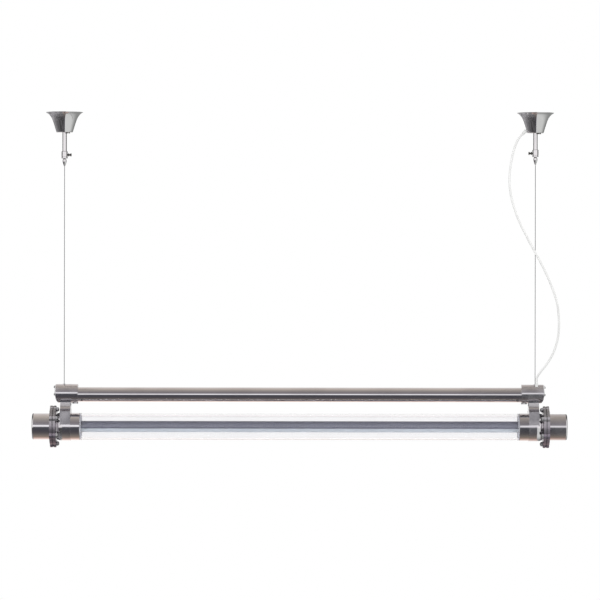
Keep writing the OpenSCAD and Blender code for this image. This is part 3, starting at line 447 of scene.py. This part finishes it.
@dataclass(frozen=True)
class FlangedCasting(Finish):
    """Polished metal whose bolted flange stays duller and darker, as it was cast, with painted
    light high on the flange, painted shade low on it and painted shade in the corner under the
    collar.

    Attributes:
        axis_z: height of the lamp's axis.
        inner_r: radius where the dull zone starts.
        outer_r: radius beyond which the metal is polished again.
        inner_x: distance from the middle where the dull zone starts.
        nook_low: lower edge of the dull corner under the collar, darkened there as painted shade.
        nook_high: upper edge of that corner.
        shaded_dull_colour: colour of the dull zone low on the flange, darker there as painted
            shade.
        lit_dull_colour: its colour high on the flange, lighter there as painted light; in the
            corner under the collar it is painted shade against the polish.
        cast_roughness: its roughness.
        cast_relief: how much higher the fine relief is there.
        face_x: distance from the middle of a turned end face.
        face_roughness: roughness of that face.
        face_relief: height of its rings against the fine relief.
        ring_fade: width over which the dull zone fades at either radius.
        step_fade: width over which it sets in along the lamp.
        nook_fades: widths over which the corner fades at its lower and its upper edge.
        face_fade: width over which the end face sets in.
        painted_light_z: heights about the axis between which the painted shade low on the flange
            gives way to the painted light high on it.
    """

    axis_z: float = -0.726
    inner_r: float = 0.034
    outer_r: float = 0.052
    inner_x: float = 0.5605
    nook_low: float = -0.6785
    nook_high: float = -0.6695
    # painted shade low on the flange and painted light high on it, as light falls from above
    shaded_dull_colour: Colour = (0.25, 0.215, 0.26)
    lit_dull_colour: Colour = (0.46, 0.445, 0.46)
    cast_roughness: float = 0.36
    cast_relief: float = 9.0
    face_x: float = 0.6171
    face_roughness: float = 0.17
    face_relief: float = 4.0
    ring_fade: float = 0.0012
    step_fade: float = 0.0008
    nook_fades: Limits = (0.002, 0.0015)
    face_fade: float = 0.0001
    # heights where the painted shade below turns into the painted light above
    painted_light_z: Limits = (-0.03, 0.042)

    def dull(self, sheet: Sheet, reach: bpy.types.NodeSocket, out: bpy.types.NodeSocket,
             z: bpy.types.NodeSocket) -> bpy.types.NodeSocket:
        """Finds where the metal is duller: the flange's rim, as it was cast, and the corner under
        the collar, darkened as painted shade.

        Args:
            sheet: the material's sheet.
            reach: distance from the lamp's axis.
            out: distance from the middle along the lamp.
            z: height.

        Returns:
            A mask that is 1 on the flange's rim and in the corner under the collar.
        """
        band = sheet.math("MULTIPLY",
                          sheet.spread(reach, self.inner_r, self.inner_r + self.ring_fade),
                          sheet.spread(reach, self.outer_r, self.outer_r - self.ring_fade))
        rim = sheet.math("MULTIPLY", band,
                         sheet.spread(out, self.inner_x, self.inner_x + self.step_fade))
        # the corner under the collar gets painted shade, where its reflection would be shaded
        low_fade, high_fade = self.nook_fades
        nook = sheet.math("MULTIPLY", sheet.spread(z, self.nook_low, self.nook_low + low_fade),
                          sheet.spread(z, self.nook_high, self.nook_high - high_fade))
        return sheet.math("MAXIMUM", rim, nook)

    def finish_off(self, sheet: Sheet, shader: bpy.types.Node) -> None:
        """Blends the dull zones, with their painted light and painted shade, and the turned face
        into colour, roughness and relief.

        Args:
            sheet: the material's sheet.
            shader: its Principled BSDF.
        """
        place = sheet.add("SeparateXYZ")
        sheet.join(sheet.add("TexCoord").outputs["Object"], place.inputs[0])
        x, _, z = place.outputs
        turned = sheet.add("Group", node_tree=rings_group())
        turned.inputs["Axis Z"].default_value = self.axis_z
        out = sheet.math("ABSOLUTE", x)
        # the dull mask also carries the painted shade of the corner under the collar
        dull = self.dull(sheet, turned.outputs["Reach"], out, z)
        face = sheet.spread(out, self.face_x - self.face_fade, self.face_x)
        colour, rough = shader.inputs["Base Color"], shader.inputs["Roughness"]
        # painted light and shade: the dull zone is lighter high up and darker low down, as light
        # falls from above
        painted_light_mask = sheet.spread(z, *(self.axis_z + height for height in self.painted_light_z))
        cast_and_painted_light = sheet.blend(painted_light_mask, self.shaded_dull_colour, self.lit_dull_colour)
        sheet.join(sheet.blend(dull, colour.links[0].from_socket, cast_and_painted_light), colour)
        smooth = sheet.math("MULTIPLY", rough.links[0].from_socket,
                            sheet.math("SUBTRACT", 1.0, dull))
        matt = sheet.math("ADD", smooth, sheet.math("MULTIPLY", dull, self.cast_roughness))
        faced = sheet.math("MULTIPLY", face, self.face_roughness)
        sheet.join(sheet.math("MAXIMUM", matt, faced), rough)
        height = shader.inputs["Normal"].links[0].from_node.inputs["Height"]
        grown = sheet.math("MULTIPLY_ADD", dull, self.cast_relief, 1.0)
        skin = sheet.math("MULTIPLY", height.links[0].from_socket, grown)
        rings = sheet.math("MULTIPLY", sheet.math("MULTIPLY", turned.outputs["Rings"], face),
                           self.face_relief)
        sheet.join(sheet.math("ADD", skin, rings), height)


ACRYLIC = ClearPlastic("clear_acrylic_finish", "clear_acrylic", (0.985, 0.985, 0.995),
                       (0.97, 0.97, 0.98), 0.0, 0.004, relief=0.0, cloud_scale=9.0,
                       plain={"IOR": 1.49})
SEAL = ClearPlastic("clear_seal_finish", "clear_seal", (0.82, 0.82, 0.88), (0.78, 0.78, 0.84),
                    0.14, 0.2, relief=0.0, plain={"IOR": 1.41}, clearness=0.7)

# the flange rims of both get painted light high up and painted shade low down
CAST_NICKEL = FlangedCasting("cast_nickel_finish", "polished_nickel", (0.64, 0.62, 0.635),
                             (0.56, 0.54, 0.56), 0.08, 0.15, metallic=1.0, relief=0.000006,
                             cloud_scale=30.0, speck_scale=420.0)
CAP_NICKEL = FlangedCasting("cap_nickel_finish", "polished_nickel", (0.66, 0.64, 0.65),
                            (0.6, 0.58, 0.59), 0.05, 0.1, metallic=1.0, relief=0.000002,
                            cloud_scale=11.0)

FINISH_OF_SLOT = {
    "polished_nickel": NICKEL, "dark_screws": BLACK_STEEL, "zinc_steel": ZINC, "wire_rope": WIRE,
    "lamp_aluminium": LAMP_METAL, "lamp_milky": LAMP_MILKY, "clear_acrylic": ACRYLIC,
    "clear_seal": SEAL, "black_rubber": RUBBER, "white_plastic": LAMPHOLDER, "board": BOARD,
    "pale_cord": CORD,
}
FINISH_OF_NODE = {
    "end_bracket_left": CAST_NICKEL, "end_bracket_right": CAST_NICKEL,
    "end_cap_left": CAP_NICKEL, "end_cap_right": CAP_NICKEL,
    "collar_cover_left": PALE_COVER, "collar_cover_right": PALE_COVER,
}


# ---------------------------------------------------------------- mesh helpers


def piece(name: str, form: bmesh.types.BMesh, finish: Finish,
          smooth: float = 35.0) -> bpy.types.Object:
    """Turns a bmesh into a dressed object at the origin.

    Args:
        name: the object's name.
        form: the shape, in metres in the row frame.
        finish: what it is dressed with.
        smooth: edges sharper than this many degrees stay sharp.

    Returns:
        The new object.
    """
    bmesh.ops.recalc_face_normals(form, faces=form.faces)
    for face in form.faces:
        face.smooth = True
    limit = math.radians(smooth)
    for edge in form.edges:
        edge.smooth = len(edge.link_faces) == 2 and edge.calc_face_angle(0.0) < limit
    mesh = bpy.data.meshes.new(name)
    form.to_mesh(mesh)
    form.free()
    thing = bpy.data.objects.new(name, mesh)
    bpy.context.scene.collection.objects.link(thing)
    finish.dress(thing)
    log.info("%s: %d faces", name, len(mesh.polygons))
    return thing


def smooth_line(given: Sequence[Vector], steps: int, first: int, last: int) -> list[Vector]:
    """The smooth line through given points, from one of them to another.

    Args:
        given: all points of the line.
        steps: points from one given point to the next.
        first: index of the given point it starts at.
        last: index of the given point it ends at.

    Returns:
        The line's points.
    """
    ends = [2 * given[0] - given[1], *given, 2 * given[-1] - given[-2]]
    line = []
    for i in range(first, last):
        a, b, c, d = ends[i:i + 4]
        for k in range(steps):
            t = k / steps
            line.append(0.5 * (2 * b + (c - a) * t + (2 * a - 5 * b + 4 * c - d) * t * t
                               + (3 * b - a - 3 * c + d) * t * t * t))
    return [*line, given[last]]


def spun(section: Sequence[Vector], centre_x: float, segments: int) -> bmesh.types.BMesh:
    """Spins a closed section about an upright axis.

    Args:
        section: its points, as radius and height.
        centre_x: the axis's place along the lamp.
        segments: faces round the axis.

    Returns:
        The turned shape.
    """
    form = bmesh.new()
    start = bmesh.ops.create_circle(form, segments=len(section), radius=1.0)["verts"]
    for vert, place in zip(start, section):
        vert.co = place + Vector((centre_x, 0, 0))
    bmesh.ops.spin(form, geom=[*start, *form.edges], cent=(centre_x, 0, 0), axis=(0, 0, 1),
                   dvec=(0, 0, 0), angle=2 * math.pi, steps=segments, use_merge=True,
                   use_duplicate=False)
    return form


# ------------------------------------------------- the canopies and wire guides


@dataclass
class Canopy:
    """A bell spun from sheet over one ceiling strap, smooth from rim to foot.

    Attributes:
        side: which end of the lamp it hangs over.
        centre_x: distance of its axis from the middle.
        rim_r: radius of the rim.
        foot_r: radius of the lower end.
        height: height from foot to rim.
        wall: thickness of the sheet, measured level.
        floor: thickness of the bottom.
        bore_r: radius of the hole for the stem.
        rim_round: how far the rim's edge is rounded.
        foot_round: how far the foot's edge is rounded.
        depths: the CAD outline's points from rim to foot, as shares of the height.
        flares: the same points as shares of the flare.
        steps: rings from one outline point to the next.
        segments: faces round the bell.
    """

    side: Side
    centre_x: float = 0.544
    rim_r: float = 0.043
    foot_r: float = 0.018
    height: float = 0.0467
    wall: float = 0.0015
    floor: float = 0.0016
    bore_r: float = 0.0051
    rim_round: float = 0.0005
    foot_round: float = 0.0007
    depths: tuple[float, ...] = (0, 0.03, 0.09, 0.17, 0.27, 0.40, 0.55, 0.70, 0.84, 0.95, 1)
    flares: tuple[float, ...] = (1, 0.94, 0.76, 0.62, 0.49, 0.38, 0.285, 0.195, 0.115, 0.055, 0)
    steps: int = 5
    segments: int = 144

    def outline(self) -> list[Vector]:
        """The closed section of the bell, as radius and height.

        Returns:
            Its points from the rim down the outside and back up the inside.
        """
        drawn = [Vector((self.foot_r + (self.rim_r - self.foot_r) * flare, 0, -self.height * depth))
                 for depth, flare in zip(self.depths, self.flares)]
        outside = smooth_line(drawn, self.steps, 0, len(drawn) - 1)
        top = self.floor - self.height
        inside = [p - Vector((self.wall, 0, 0)) for p in reversed(outside)
                  if p.z > top + self.floor / 2]
        foot = [Vector((self.bore_r, 0, -self.height)), Vector((self.bore_r, 0, top)),
                Vector((self.foot_r - self.wall, 0, top))]
        return [*outside, *foot, *inside]

    def build(self) -> bpy.types.Object:
        """Spins the section about the stem and softens the rim's and the foot's edges.

        Returns:
            The canopy.
        """
        x = self.side.value * self.centre_x
        form = spun(self.outline(), x, self.segments)
        for radius, z, size in ((self.rim_r, 0.0, self.rim_round),
                                (self.foot_r, -self.height, self.foot_round)):
            ring = [edge for edge in form.edges
                    if all(abs(vert.co.z - z) < NEAR
                           and abs(math.hypot(vert.co.x - x, vert.co.y) - radius) < NEAR
                           for vert in edge.verts)]
            bmesh.ops.bevel(form, geom=ring, offset=size, segments=3, profile=0.5,
                            affect="EDGES", material=-1)
        bell = piece(f"spun_canopy_{self.side.label}", form, NICKEL)
        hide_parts(f"canopy_{self.side.label}")
        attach(bell, f"{self.side.label}_canopy")
        return bell


@dataclass
class WireGuide:
    """A turned drop-shaped guide below one wire clamp, smooth from swell to tip.

    Attributes:
        side: which wire it guides.
        length: its length below the clamp.
        swell_r: its widest radius.
        tip_r: radius of the tip.
        spigot_r: radius of the spigot in the clamp.
        bore_r: radius of the hole for the wire.
        places: the CAD outline's points from clamp to tip, as shares of the length.
        swells: the same points as shares of the swell.
        steps: rings from one outline point to the next.
        segments: faces round the guide.
    """

    side: Side
    length: float = 0.018
    swell_r: float = 0.0045
    tip_r: float = 0.00135
    spigot_r: float = 0.003375
    bore_r: float = 0.0009
    places: tuple[float, ...] = (0, 0.08, 0.2, 0.35, 0.5, 0.65, 0.8, 0.92, 1)
    swells: tuple[float, ...] = (0.45, 0.75, 0.94, 1, 0.9, 0.68, 0.4, 0.14, 0)
    steps: int = 4
    segments: int = 64

    def build(self) -> bpy.types.Object:
        """Spins the guide's section about the wire.

        Returns:
            The guide.
        """
        node = f"wire_guide_{self.side.label}"
        low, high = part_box(node)
        top = low.z + self.length
        drawn = [Vector((self.tip_r + (self.swell_r - self.tip_r) * swell, 0,
                         top - self.length * place))
                 for place, swell in zip(self.places, self.swells)]
        drop = smooth_line(drawn, self.steps, 0, len(drawn) - 1)
        section = [Vector((self.bore_r, 0, high.z)), Vector((self.spigot_r, 0, high.z)),
                   Vector((self.spigot_r, 0, top)), *drop, Vector((self.bore_r, 0, low.z))]
        guide = piece(f"turned_guide_{self.side.label}",
                      spun(section, (low.x + high.x) / 2, self.segments), NICKEL)
        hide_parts(node)
        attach(guide, "ceiling")
        return guide


# ------------------------------------------------------------------- the cord


@dataclass
class PowerCord:
    """The free cord from the right canopy to the right collar, in three stretches.

    Attributes:
        route: the CAD tube's own points, in millimetres.
        diameter: the sheath's outer diameter.
        sides: faces round the tube.
        steps: rings from one route point to the next.
        smooth: edges sharper than this many degrees stay sharp.
        stretches: each stretch's name, its first and last route point, and the bodies there.
    """

    route: tuple[Point, ...] = (
        (514.5, 0, -49), (508.5, 0, -55), (500, -1, -69), (490, -3, -102), (484, -5, -146),
        (486, -7, -184), (495, -9, -221), (509, -11, -257), (528, -12, -295), (546, -12, -328),
        (564, -12, -362), (582, -12, -403), (594, -12, -441), (598, -12, -481),
        (596, -12, -518), (586, -12, -552), (571, -12, -579), (556, -11, -598),
        (548, -9, -611), (547, -9, -622.5),
    )
    diameter: float = 0.005
    sides: int = 20
    steps: int = 8
    smooth: float = 60.0
    stretches: tuple[tuple[str, int, int, tuple[str, str]], ...] = (
        ("cord_at_canopy", 0, 5, ("right_canopy", "ceiling")),
        ("cord_middle", 5, 10, ("ceiling", "wires")),
        ("cord_at_collar", 10, 19, ("wires", "fixture")),
    )

    def points(self, first: int, last: int) -> list[Vector]:
        """The smooth line through the route between two of its points.

        Args:
            first: index of the first route point.
            last: index of the last route point.

        Returns:
            The line's points in metres.
        """
        return smooth_line([Vector(p) / 1000 for p in self.route], self.steps, first, last)

    def stretch(self, name: str, first: int, last: int,
                bodies: tuple[str, str]) -> bpy.types.Object:
        """Args:
            name: the stretch's name.
            first: index of its first route point.
            last: index of its last route point.
            bodies: the bodies at its first and last point; not used.

        Returns:
            The stretch.
        """
        line = self.points(first, last)
        form = bmesh.new()
        ring: list[bmesh.types.BMVert] = []
        for i, centre in enumerate(line):
            ahead = (line[min(i + 1, len(line) - 1)] - line[max(i - 1, 0)]).normalized()
            across = ahead.cross(Vector((0, 1, 0))).normalized()
            over = ahead.cross(across)
            place = Matrix((across, over, ahead)).transposed().to_4x4()
            place.translation = centre
            made = bmesh.ops.create_circle(form, segments=self.sides, radius=self.diameter / 2,
                                           cap_ends=i in (0, len(line) - 1), matrix=place)["verts"]
            if ring:
                old = [e for v in ring for e in v.link_edges if e.other_vert(v) in ring]
                new = [e for v in made for e in v.link_edges]
                bmesh.ops.bridge_loops(form, edges=list(set(old + new)))
            ring = made
        made_piece = piece(name, form, CORD, self.smooth)
        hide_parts("power_cord")
        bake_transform(made_piece)
        return made_piece

    def build(self) -> None:
        """Makes the three stretches, each across one joint."""
        for given in self.stretches:
            self.stretch(*given)


# ------------------------------------------------------------------ the wires


@dataclass
class SuspensionWire:
    """A stranded wire from its guide to the anchor in the collar.

    Attributes:
        side: which end of the lamp it carries.
        strands: strands that show round the wire.
        radius: outer radius over the strands.
        lay: length of one turn of a strand.
        rings_a_turn: rings in one turn.
        lobe: a strand's outline from crest to crest, as shares of the radius.
        smooth: edges sharper than this many degrees stay sharp.
    """

    side: Side
    strands: int = 6
    radius: float = 0.00075
    lay: float = 0.011
    rings_a_turn: int = 12
    lobe: tuple[float, ...] = (1.0, 0.93, 0.78, 0.93)
    smooth: float = 70.0

    def build(self) -> bpy.types.Object:
        """Sweeps the lobed section down the wire's line with the strands' twist.

        Returns:
            The wire.
        """
        node = f"suspension_wire_{self.side.label}"
        low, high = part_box(node)
        x = (low.x + high.x) / 2
        rings = round((high.z - low.z) / self.lay * self.rings_a_turn)
        turn = -2 * math.pi / self.rings_a_turn
        form = bmesh.new()
        section = bmesh.ops.create_circle(form, segments=self.strands * len(self.lobe),
                                          radius=self.radius, cap_ends=True)["verts"]
        for i, vert in enumerate(section):
            vert.co *= self.lobe[i % len(self.lobe)]
        bmesh.ops.translate(form, verts=section, vec=(x, 0, low.z))
        edges = [e for e in form.edges if e.verts[0] in section and e.verts[1] in section]
        for _ in range(rings):
            made = bmesh.ops.extrude_edge_only(form, edges=edges)["geom"]
            verts = [g for g in made if isinstance(g, bmesh.types.BMVert)]
            edges = [g for g in made if isinstance(g, bmesh.types.BMEdge)]
            bmesh.ops.translate(form, verts=verts, vec=(0, 0, (high.z - low.z) / rings))
            bmesh.ops.rotate(form, verts=verts, cent=(x, 0, 0),
                             matrix=Matrix.Rotation(turn, 3, "Z"))
        bmesh.ops.contextual_create(form, geom=edges)
        wire = piece(f"stranded_wire_{self.side.label}", form, WIRE, self.smooth)
        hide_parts(node)
        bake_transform(wire)
        return wire


# ----------------------------------------------------------------- the studio


@dataclass(frozen=True)
class SoftLamp:
    """A soft square lamp that lights without showing itself.

    Attributes:
        name: the lamp's name.
        place: where it hangs.
        power: its power in watts.
        aim: the point it faces.
        size: its edge.
    """

    name: str
    place: Point
    power: float
    aim: Point = (0.0, 0.0, -0.6)
    size: float = 1.6

    def build(self) -> None:
        """Hangs the lamp."""
        data = bpy.data.lights.new(self.name, "AREA")
        data.size = self.size
        data.energy = self.power
        lamp = bpy.data.objects.new(self.name, data)
        lamp.location = self.place
        sight = Vector(self.aim) - Vector(self.place)
        lamp.rotation_euler = sight.to_track_quat("-Z", "Y").to_euler()
        lamp.visible_camera = False
        lamp.visible_glossy = False
        lamp.visible_transmission = False
        bpy.context.scene.collection.objects.link(lamp)


@dataclass(frozen=True)
class MirroredRoom:
    """What polished metal mirrors: light and dark bands, and duller walls to either side.

    X, Y and Z are those of the mirrored direction. Each slope is two limits of one of them and
    the strengths there.

    Attributes:
        bands: the bands round the lamp's length, each with its place in degrees and its colour.
            They go from behind (-180) by below to the front (0), and by above to behind (180).
        aside_x: distances of X from 0 where the walls set in and are full.
        shade_x: limits of X where the bands darken to the right, and the shares of black there.
        halves_x: values of X where the left wall gives way to the right one.
        left_y: slope of the left wall's strength.
        right_y: slope of the right wall's strength.
        level_y: slope of what is mirrored beside the bands from level and above.
        level_z: values of Z where the walls below give way to that.
        tint_x: values of X between which the tint changes.
        tints: the tint at either.
        mottle_scale: scale of the left wall's unevenness.
        mottle: noise values, and the strengths there.
    """

    bands: tuple[tuple[float, float, float, float], ...] = (
        (-180, 1.0, 1.0, 1.0), (-150, 1.35, 1.16, 1.08), (-122, 0.9, 0.66, 0.58),
        (-104, 0.42, 0.33, 0.27), (-80, 0.26, 0.23, 0.21), (-57, 0.13, 0.12, 0.125),
        (-38, 0.095, 0.09, 0.105), (-12, 0.09, 0.095, 0.11), (-4.5, 0.2, 0.2, 0.225),
        (-0.8, 0.24, 0.24, 0.26), (0.8, 1.35, 1.35, 1.4), (12, 1.25, 1.25, 1.3),
        (16.5, 0.36, 0.35, 0.38), (32, 0.28, 0.26, 0.28), (62, 0.4, 0.37, 0.35),
        (92, 0.66, 0.6, 0.54), (130, 0.88, 0.82, 0.78), (160, 0.98, 0.96, 0.95),
        (180, 1.0, 1.0, 1.0),
    )
    aside_x: Limits = (0.086, 0.1)
    shade_x: Slope = (0.045, 0.075, 0.0, 0.24)
    halves_x: Limits = (0.086, 0.1)
    left_y: Slope = (-0.6, 0.7, 0.11, 0.42)
    right_y: Slope = (-0.3, 0.8, 0.92, 0.36)
    level_y: Slope = (-0.45, 0.05, 1.25, 0.1)
    level_z: Limits = (-0.16, -0.08)
    tint_x: Limits = (-0.3, 0.3)
    tints: tuple[Colour, Colour] = ((1.0, 1.0, 1.03), (0.98, 1.02, 0.99))
    mottle_scale: float = 7.0
    mottle: Slope = (0.36, 0.64, 0.6, 1.5)

    def banded(self, sheet: Sheet, y: bpy.types.NodeSocket,
               z: bpy.types.NodeSocket) -> bpy.types.NodeSocket:
        """Makes the bands round the lamp's length.

        Args:
            sheet: the world's sheet.
            y: the direction's Y.
            z: the direction's Z.

        Returns:
            Their colour.
        """
        angle = sheet.math("ARCTAN2", z, sheet.math("MULTIPLY", y, -1.0))
        turn = sheet.math("ADD", sheet.math("DIVIDE", angle, 2 * math.pi), 0.5)
        ramp = sheet.add("ValToRGB")
        stops = ramp.color_ramp.elements
        for stop, (_, *colour) in ((stops[0], self.bands[0]), (stops[1], self.bands[-1])):
            stop.color = (*colour, 1.0)
        for degrees, *colour in self.bands[1:-1]:
            stops.new(degrees / 360 + 0.5).color = (*colour, 1.0)
        sheet.join(turn, ramp.inputs["Fac"])
        return ramp.outputs["Color"]

    def walls(self, sheet: Sheet, x: bpy.types.NodeSocket, y: bpy.types.NodeSocket,
              z: bpy.types.NodeSocket) -> bpy.types.NodeSocket:
        """Makes what is mirrored from either side.

        Args:
            sheet: the world's sheet.
            x: the direction's X.
            y: the direction's Y.
            z: the direction's Z.

        Returns:
            Its colour.
        """
        noise = sheet.add("TexNoise")
        noise.inputs["Scale"].default_value = self.mottle_scale
        noise.inputs["Detail"].default_value = 3.0
        sheet.join(sheet.add("TexCoord").outputs["Generated"], noise.inputs["Vector"])
        uneven = sheet.spread(noise.outputs["Fac"], *self.mottle)
        left = sheet.math("MULTIPLY", sheet.spread(y, *self.left_y), uneven)
        tall = sheet.blend(sheet.spread(x, *self.halves_x), left, sheet.spread(y, *self.right_y))
        tone = sheet.add("VectorMath", operation="MULTIPLY")
        sheet.join(tall, tone.inputs[0])
        sheet.join(sheet.blend(sheet.spread(x, *self.tint_x), *self.tints), tone.inputs[1])
        return sheet.blend(sheet.spread(z, *self.level_z), tone.outputs[0],
                           sheet.spread(y, *self.level_y))

    def build(self, sheet: Sheet) -> bpy.types.NodeSocket:
        """Joins the bands and the walls.

        Args:
            sheet: the world's sheet.

        Returns:
            The colour of the mirrored room.
        """
        way = sheet.add("SeparateXYZ")
        sheet.join(sheet.add("TexCoord").outputs["Generated"], way.inputs[0])
        x, y, z = way.outputs
        apart = sheet.spread(sheet.math("ABSOLUTE", x), *self.aside_x)
        shaded = sheet.blend(sheet.spread(x, *self.shade_x), self.banded(sheet, y, z), (0, 0, 0))
        return sheet.blend(apart, shaded, self.walls(sheet, x, y, z))


@dataclass
class Studio:
    """Camera, lamps, world and floor.

    Attributes:
        lens: focal length on the sensor.
        sensor: width of the sensor in millimetres.
        stand: the camera's place.
        roll: turn about the line of sight, in degrees.
        far: how far the camera sees.
        lamps: the lamps.
        room: what polished metal mirrors.
        daylight: strength of the even light from all round.
        floor_size: half the floor's length and half its depth.
        floor_place: the floor's middle.
        floor_paint: the two colours of its paint.
        floor_grain: scale of the change between them.
        floor_roughness: roughness of the paint.
    """

    lens: float = 212.9
    sensor: float = 36.0
    stand: Point = (0.0005, -8.2, -0.433)
    roll: float = -0.09
    far: float = 50.0
    lamps: tuple[SoftLamp, ...] = (
        SoftLamp("key", (0.9, -1.3, 1.7), 34.0), SoftLamp("fill", (-1.2, -2.0, -1.2), 17.0),
        SoftLamp("back", (0.0, 1.8, 0.6), 8.0),
    )
    room: MirroredRoom = MirroredRoom()
    daylight: float = 0.86
    floor_size: Limits = (3.0, 1.75)
    floor_place: Point = (0.0, -0.4, -1.35)
    floor_paint: tuple[Colour, Colour] = ((0.93, 0.93, 0.93), (0.96, 0.96, 0.96))
    floor_grain: float = 60.0
    floor_roughness: float = 0.9

    def camera(self) -> None:
        """Sets the camera at the photograph's place, level and straight on."""
        data = bpy.data.cameras.new("camera")
        data.lens = self.lens
        data.sensor_width = self.sensor
        data.clip_end = self.far
        camera = bpy.data.objects.new("camera", data)
        camera.location = self.stand
        camera.rotation_euler = (math.radians(90), math.radians(self.roll), 0)
        bpy.context.scene.collection.objects.link(camera)
        bpy.context.scene.camera = camera

    def world(self) -> None:
        """Sets a white background, with the room in it for what metal mirrors."""
        world = bpy.data.worlds.new("studio")
        world.use_nodes = True
        bpy.context.scene.world = world
        world.node_tree.nodes.clear()
        sheet = Sheet(world.node_tree)
        path = sheet.add("LightPath")
        seen = sheet.math("MAXIMUM", path.outputs["Is Camera Ray"],
                          path.outputs["Is Transmission Ray"])
        plain, white, room = (sheet.add("Background") for _ in range(3))
        plain.inputs["Strength"].default_value = self.daylight
        sheet.join(self.room.build(sheet), room.inputs["Color"])
        for node in (plain, white):
            node.inputs["Color"].default_value = (1, 1, 1, 1)
        first, second = sheet.add("MixShader"), sheet.add("MixShader")
        sheet.join(path.outputs["Is Glossy Ray"], first.inputs[0])
        sheet.join(plain.outputs[0], first.inputs[1])
        sheet.join(room.outputs[0], first.inputs[2])
        sheet.join(seen, second.inputs[0])
        sheet.join(first.outputs[0], second.inputs[1])
        sheet.join(white.outputs[0], second.inputs[2])
        sheet.join(second.outputs[0], sheet.add("OutputWorld").inputs["Surface"])

    def floor(self) -> None:
        """Lays a plain pale floor that takes the object's shadow."""
        form = bmesh.new()
        bmesh.ops.create_grid(form, x_segments=1, y_segments=1, size=1.0)
        bmesh.ops.transform(form, matrix=Matrix.Diagonal((*self.floor_size, 1.0, 1.0)),
                            verts=form.verts)
        bmesh.ops.translate(form, vec=self.floor_place, verts=form.verts)
        mesh = bpy.data.meshes.new("floor")
        form.to_mesh(mesh)
        form.free()
        floor = bpy.data.objects.new("floor", mesh)
        bpy.context.scene.collection.objects.link(floor)
        finish = bpy.data.materials.new("floor_paint")
        finish.use_nodes = True
        sheet = Sheet(finish.node_tree)
        shader = finish.node_tree.nodes["Principled BSDF"]
        noise = sheet.add("TexNoise")
        noise.inputs["Scale"].default_value = self.floor_grain
        sheet.join(sheet.add("TexCoord").outputs["Object"], noise.inputs["Vector"])
        sheet.join(sheet.blend(noise.outputs["Fac"], *self.floor_paint),
                   shader.inputs["Base Color"])
        shader.inputs["Roughness"].default_value = self.floor_roughness
        floor.data.materials.append(finish)
        floor.visible_glossy = False

    def build(self) -> None:
        """Sets up the light and the surroundings."""
        bpy.context.scene.view_settings.view_transform = "Standard"
        self.world()
        for lamp in self.lamps:
            lamp.build()
        self.floor()


def dress_cad() -> None:
    """Gives each CAD node the finish of its slot, or its own."""
    slots = {part["node"]: part["material_slot"] for part in frame["record"]["subparts"]}
    for name, thing in frame["nodes"].items():
        finish = FINISH_OF_NODE.get(name, FINISH_OF_SLOT[slots[name]])
        finish.dress(thing)


def main() -> None:
    """Adds the pieces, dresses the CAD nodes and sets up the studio."""
    logging.basicConfig(level=logging.INFO, format="%(message)s")
    studio = Studio()
    studio.camera()
    PowerCord().build()
    for side in Side:
        Canopy(side).build()
        WireGuide(side).build()
        SuspensionWire(side).build()
    dress_cad()
    studio.build()


if __name__ == "__main__":
    main()
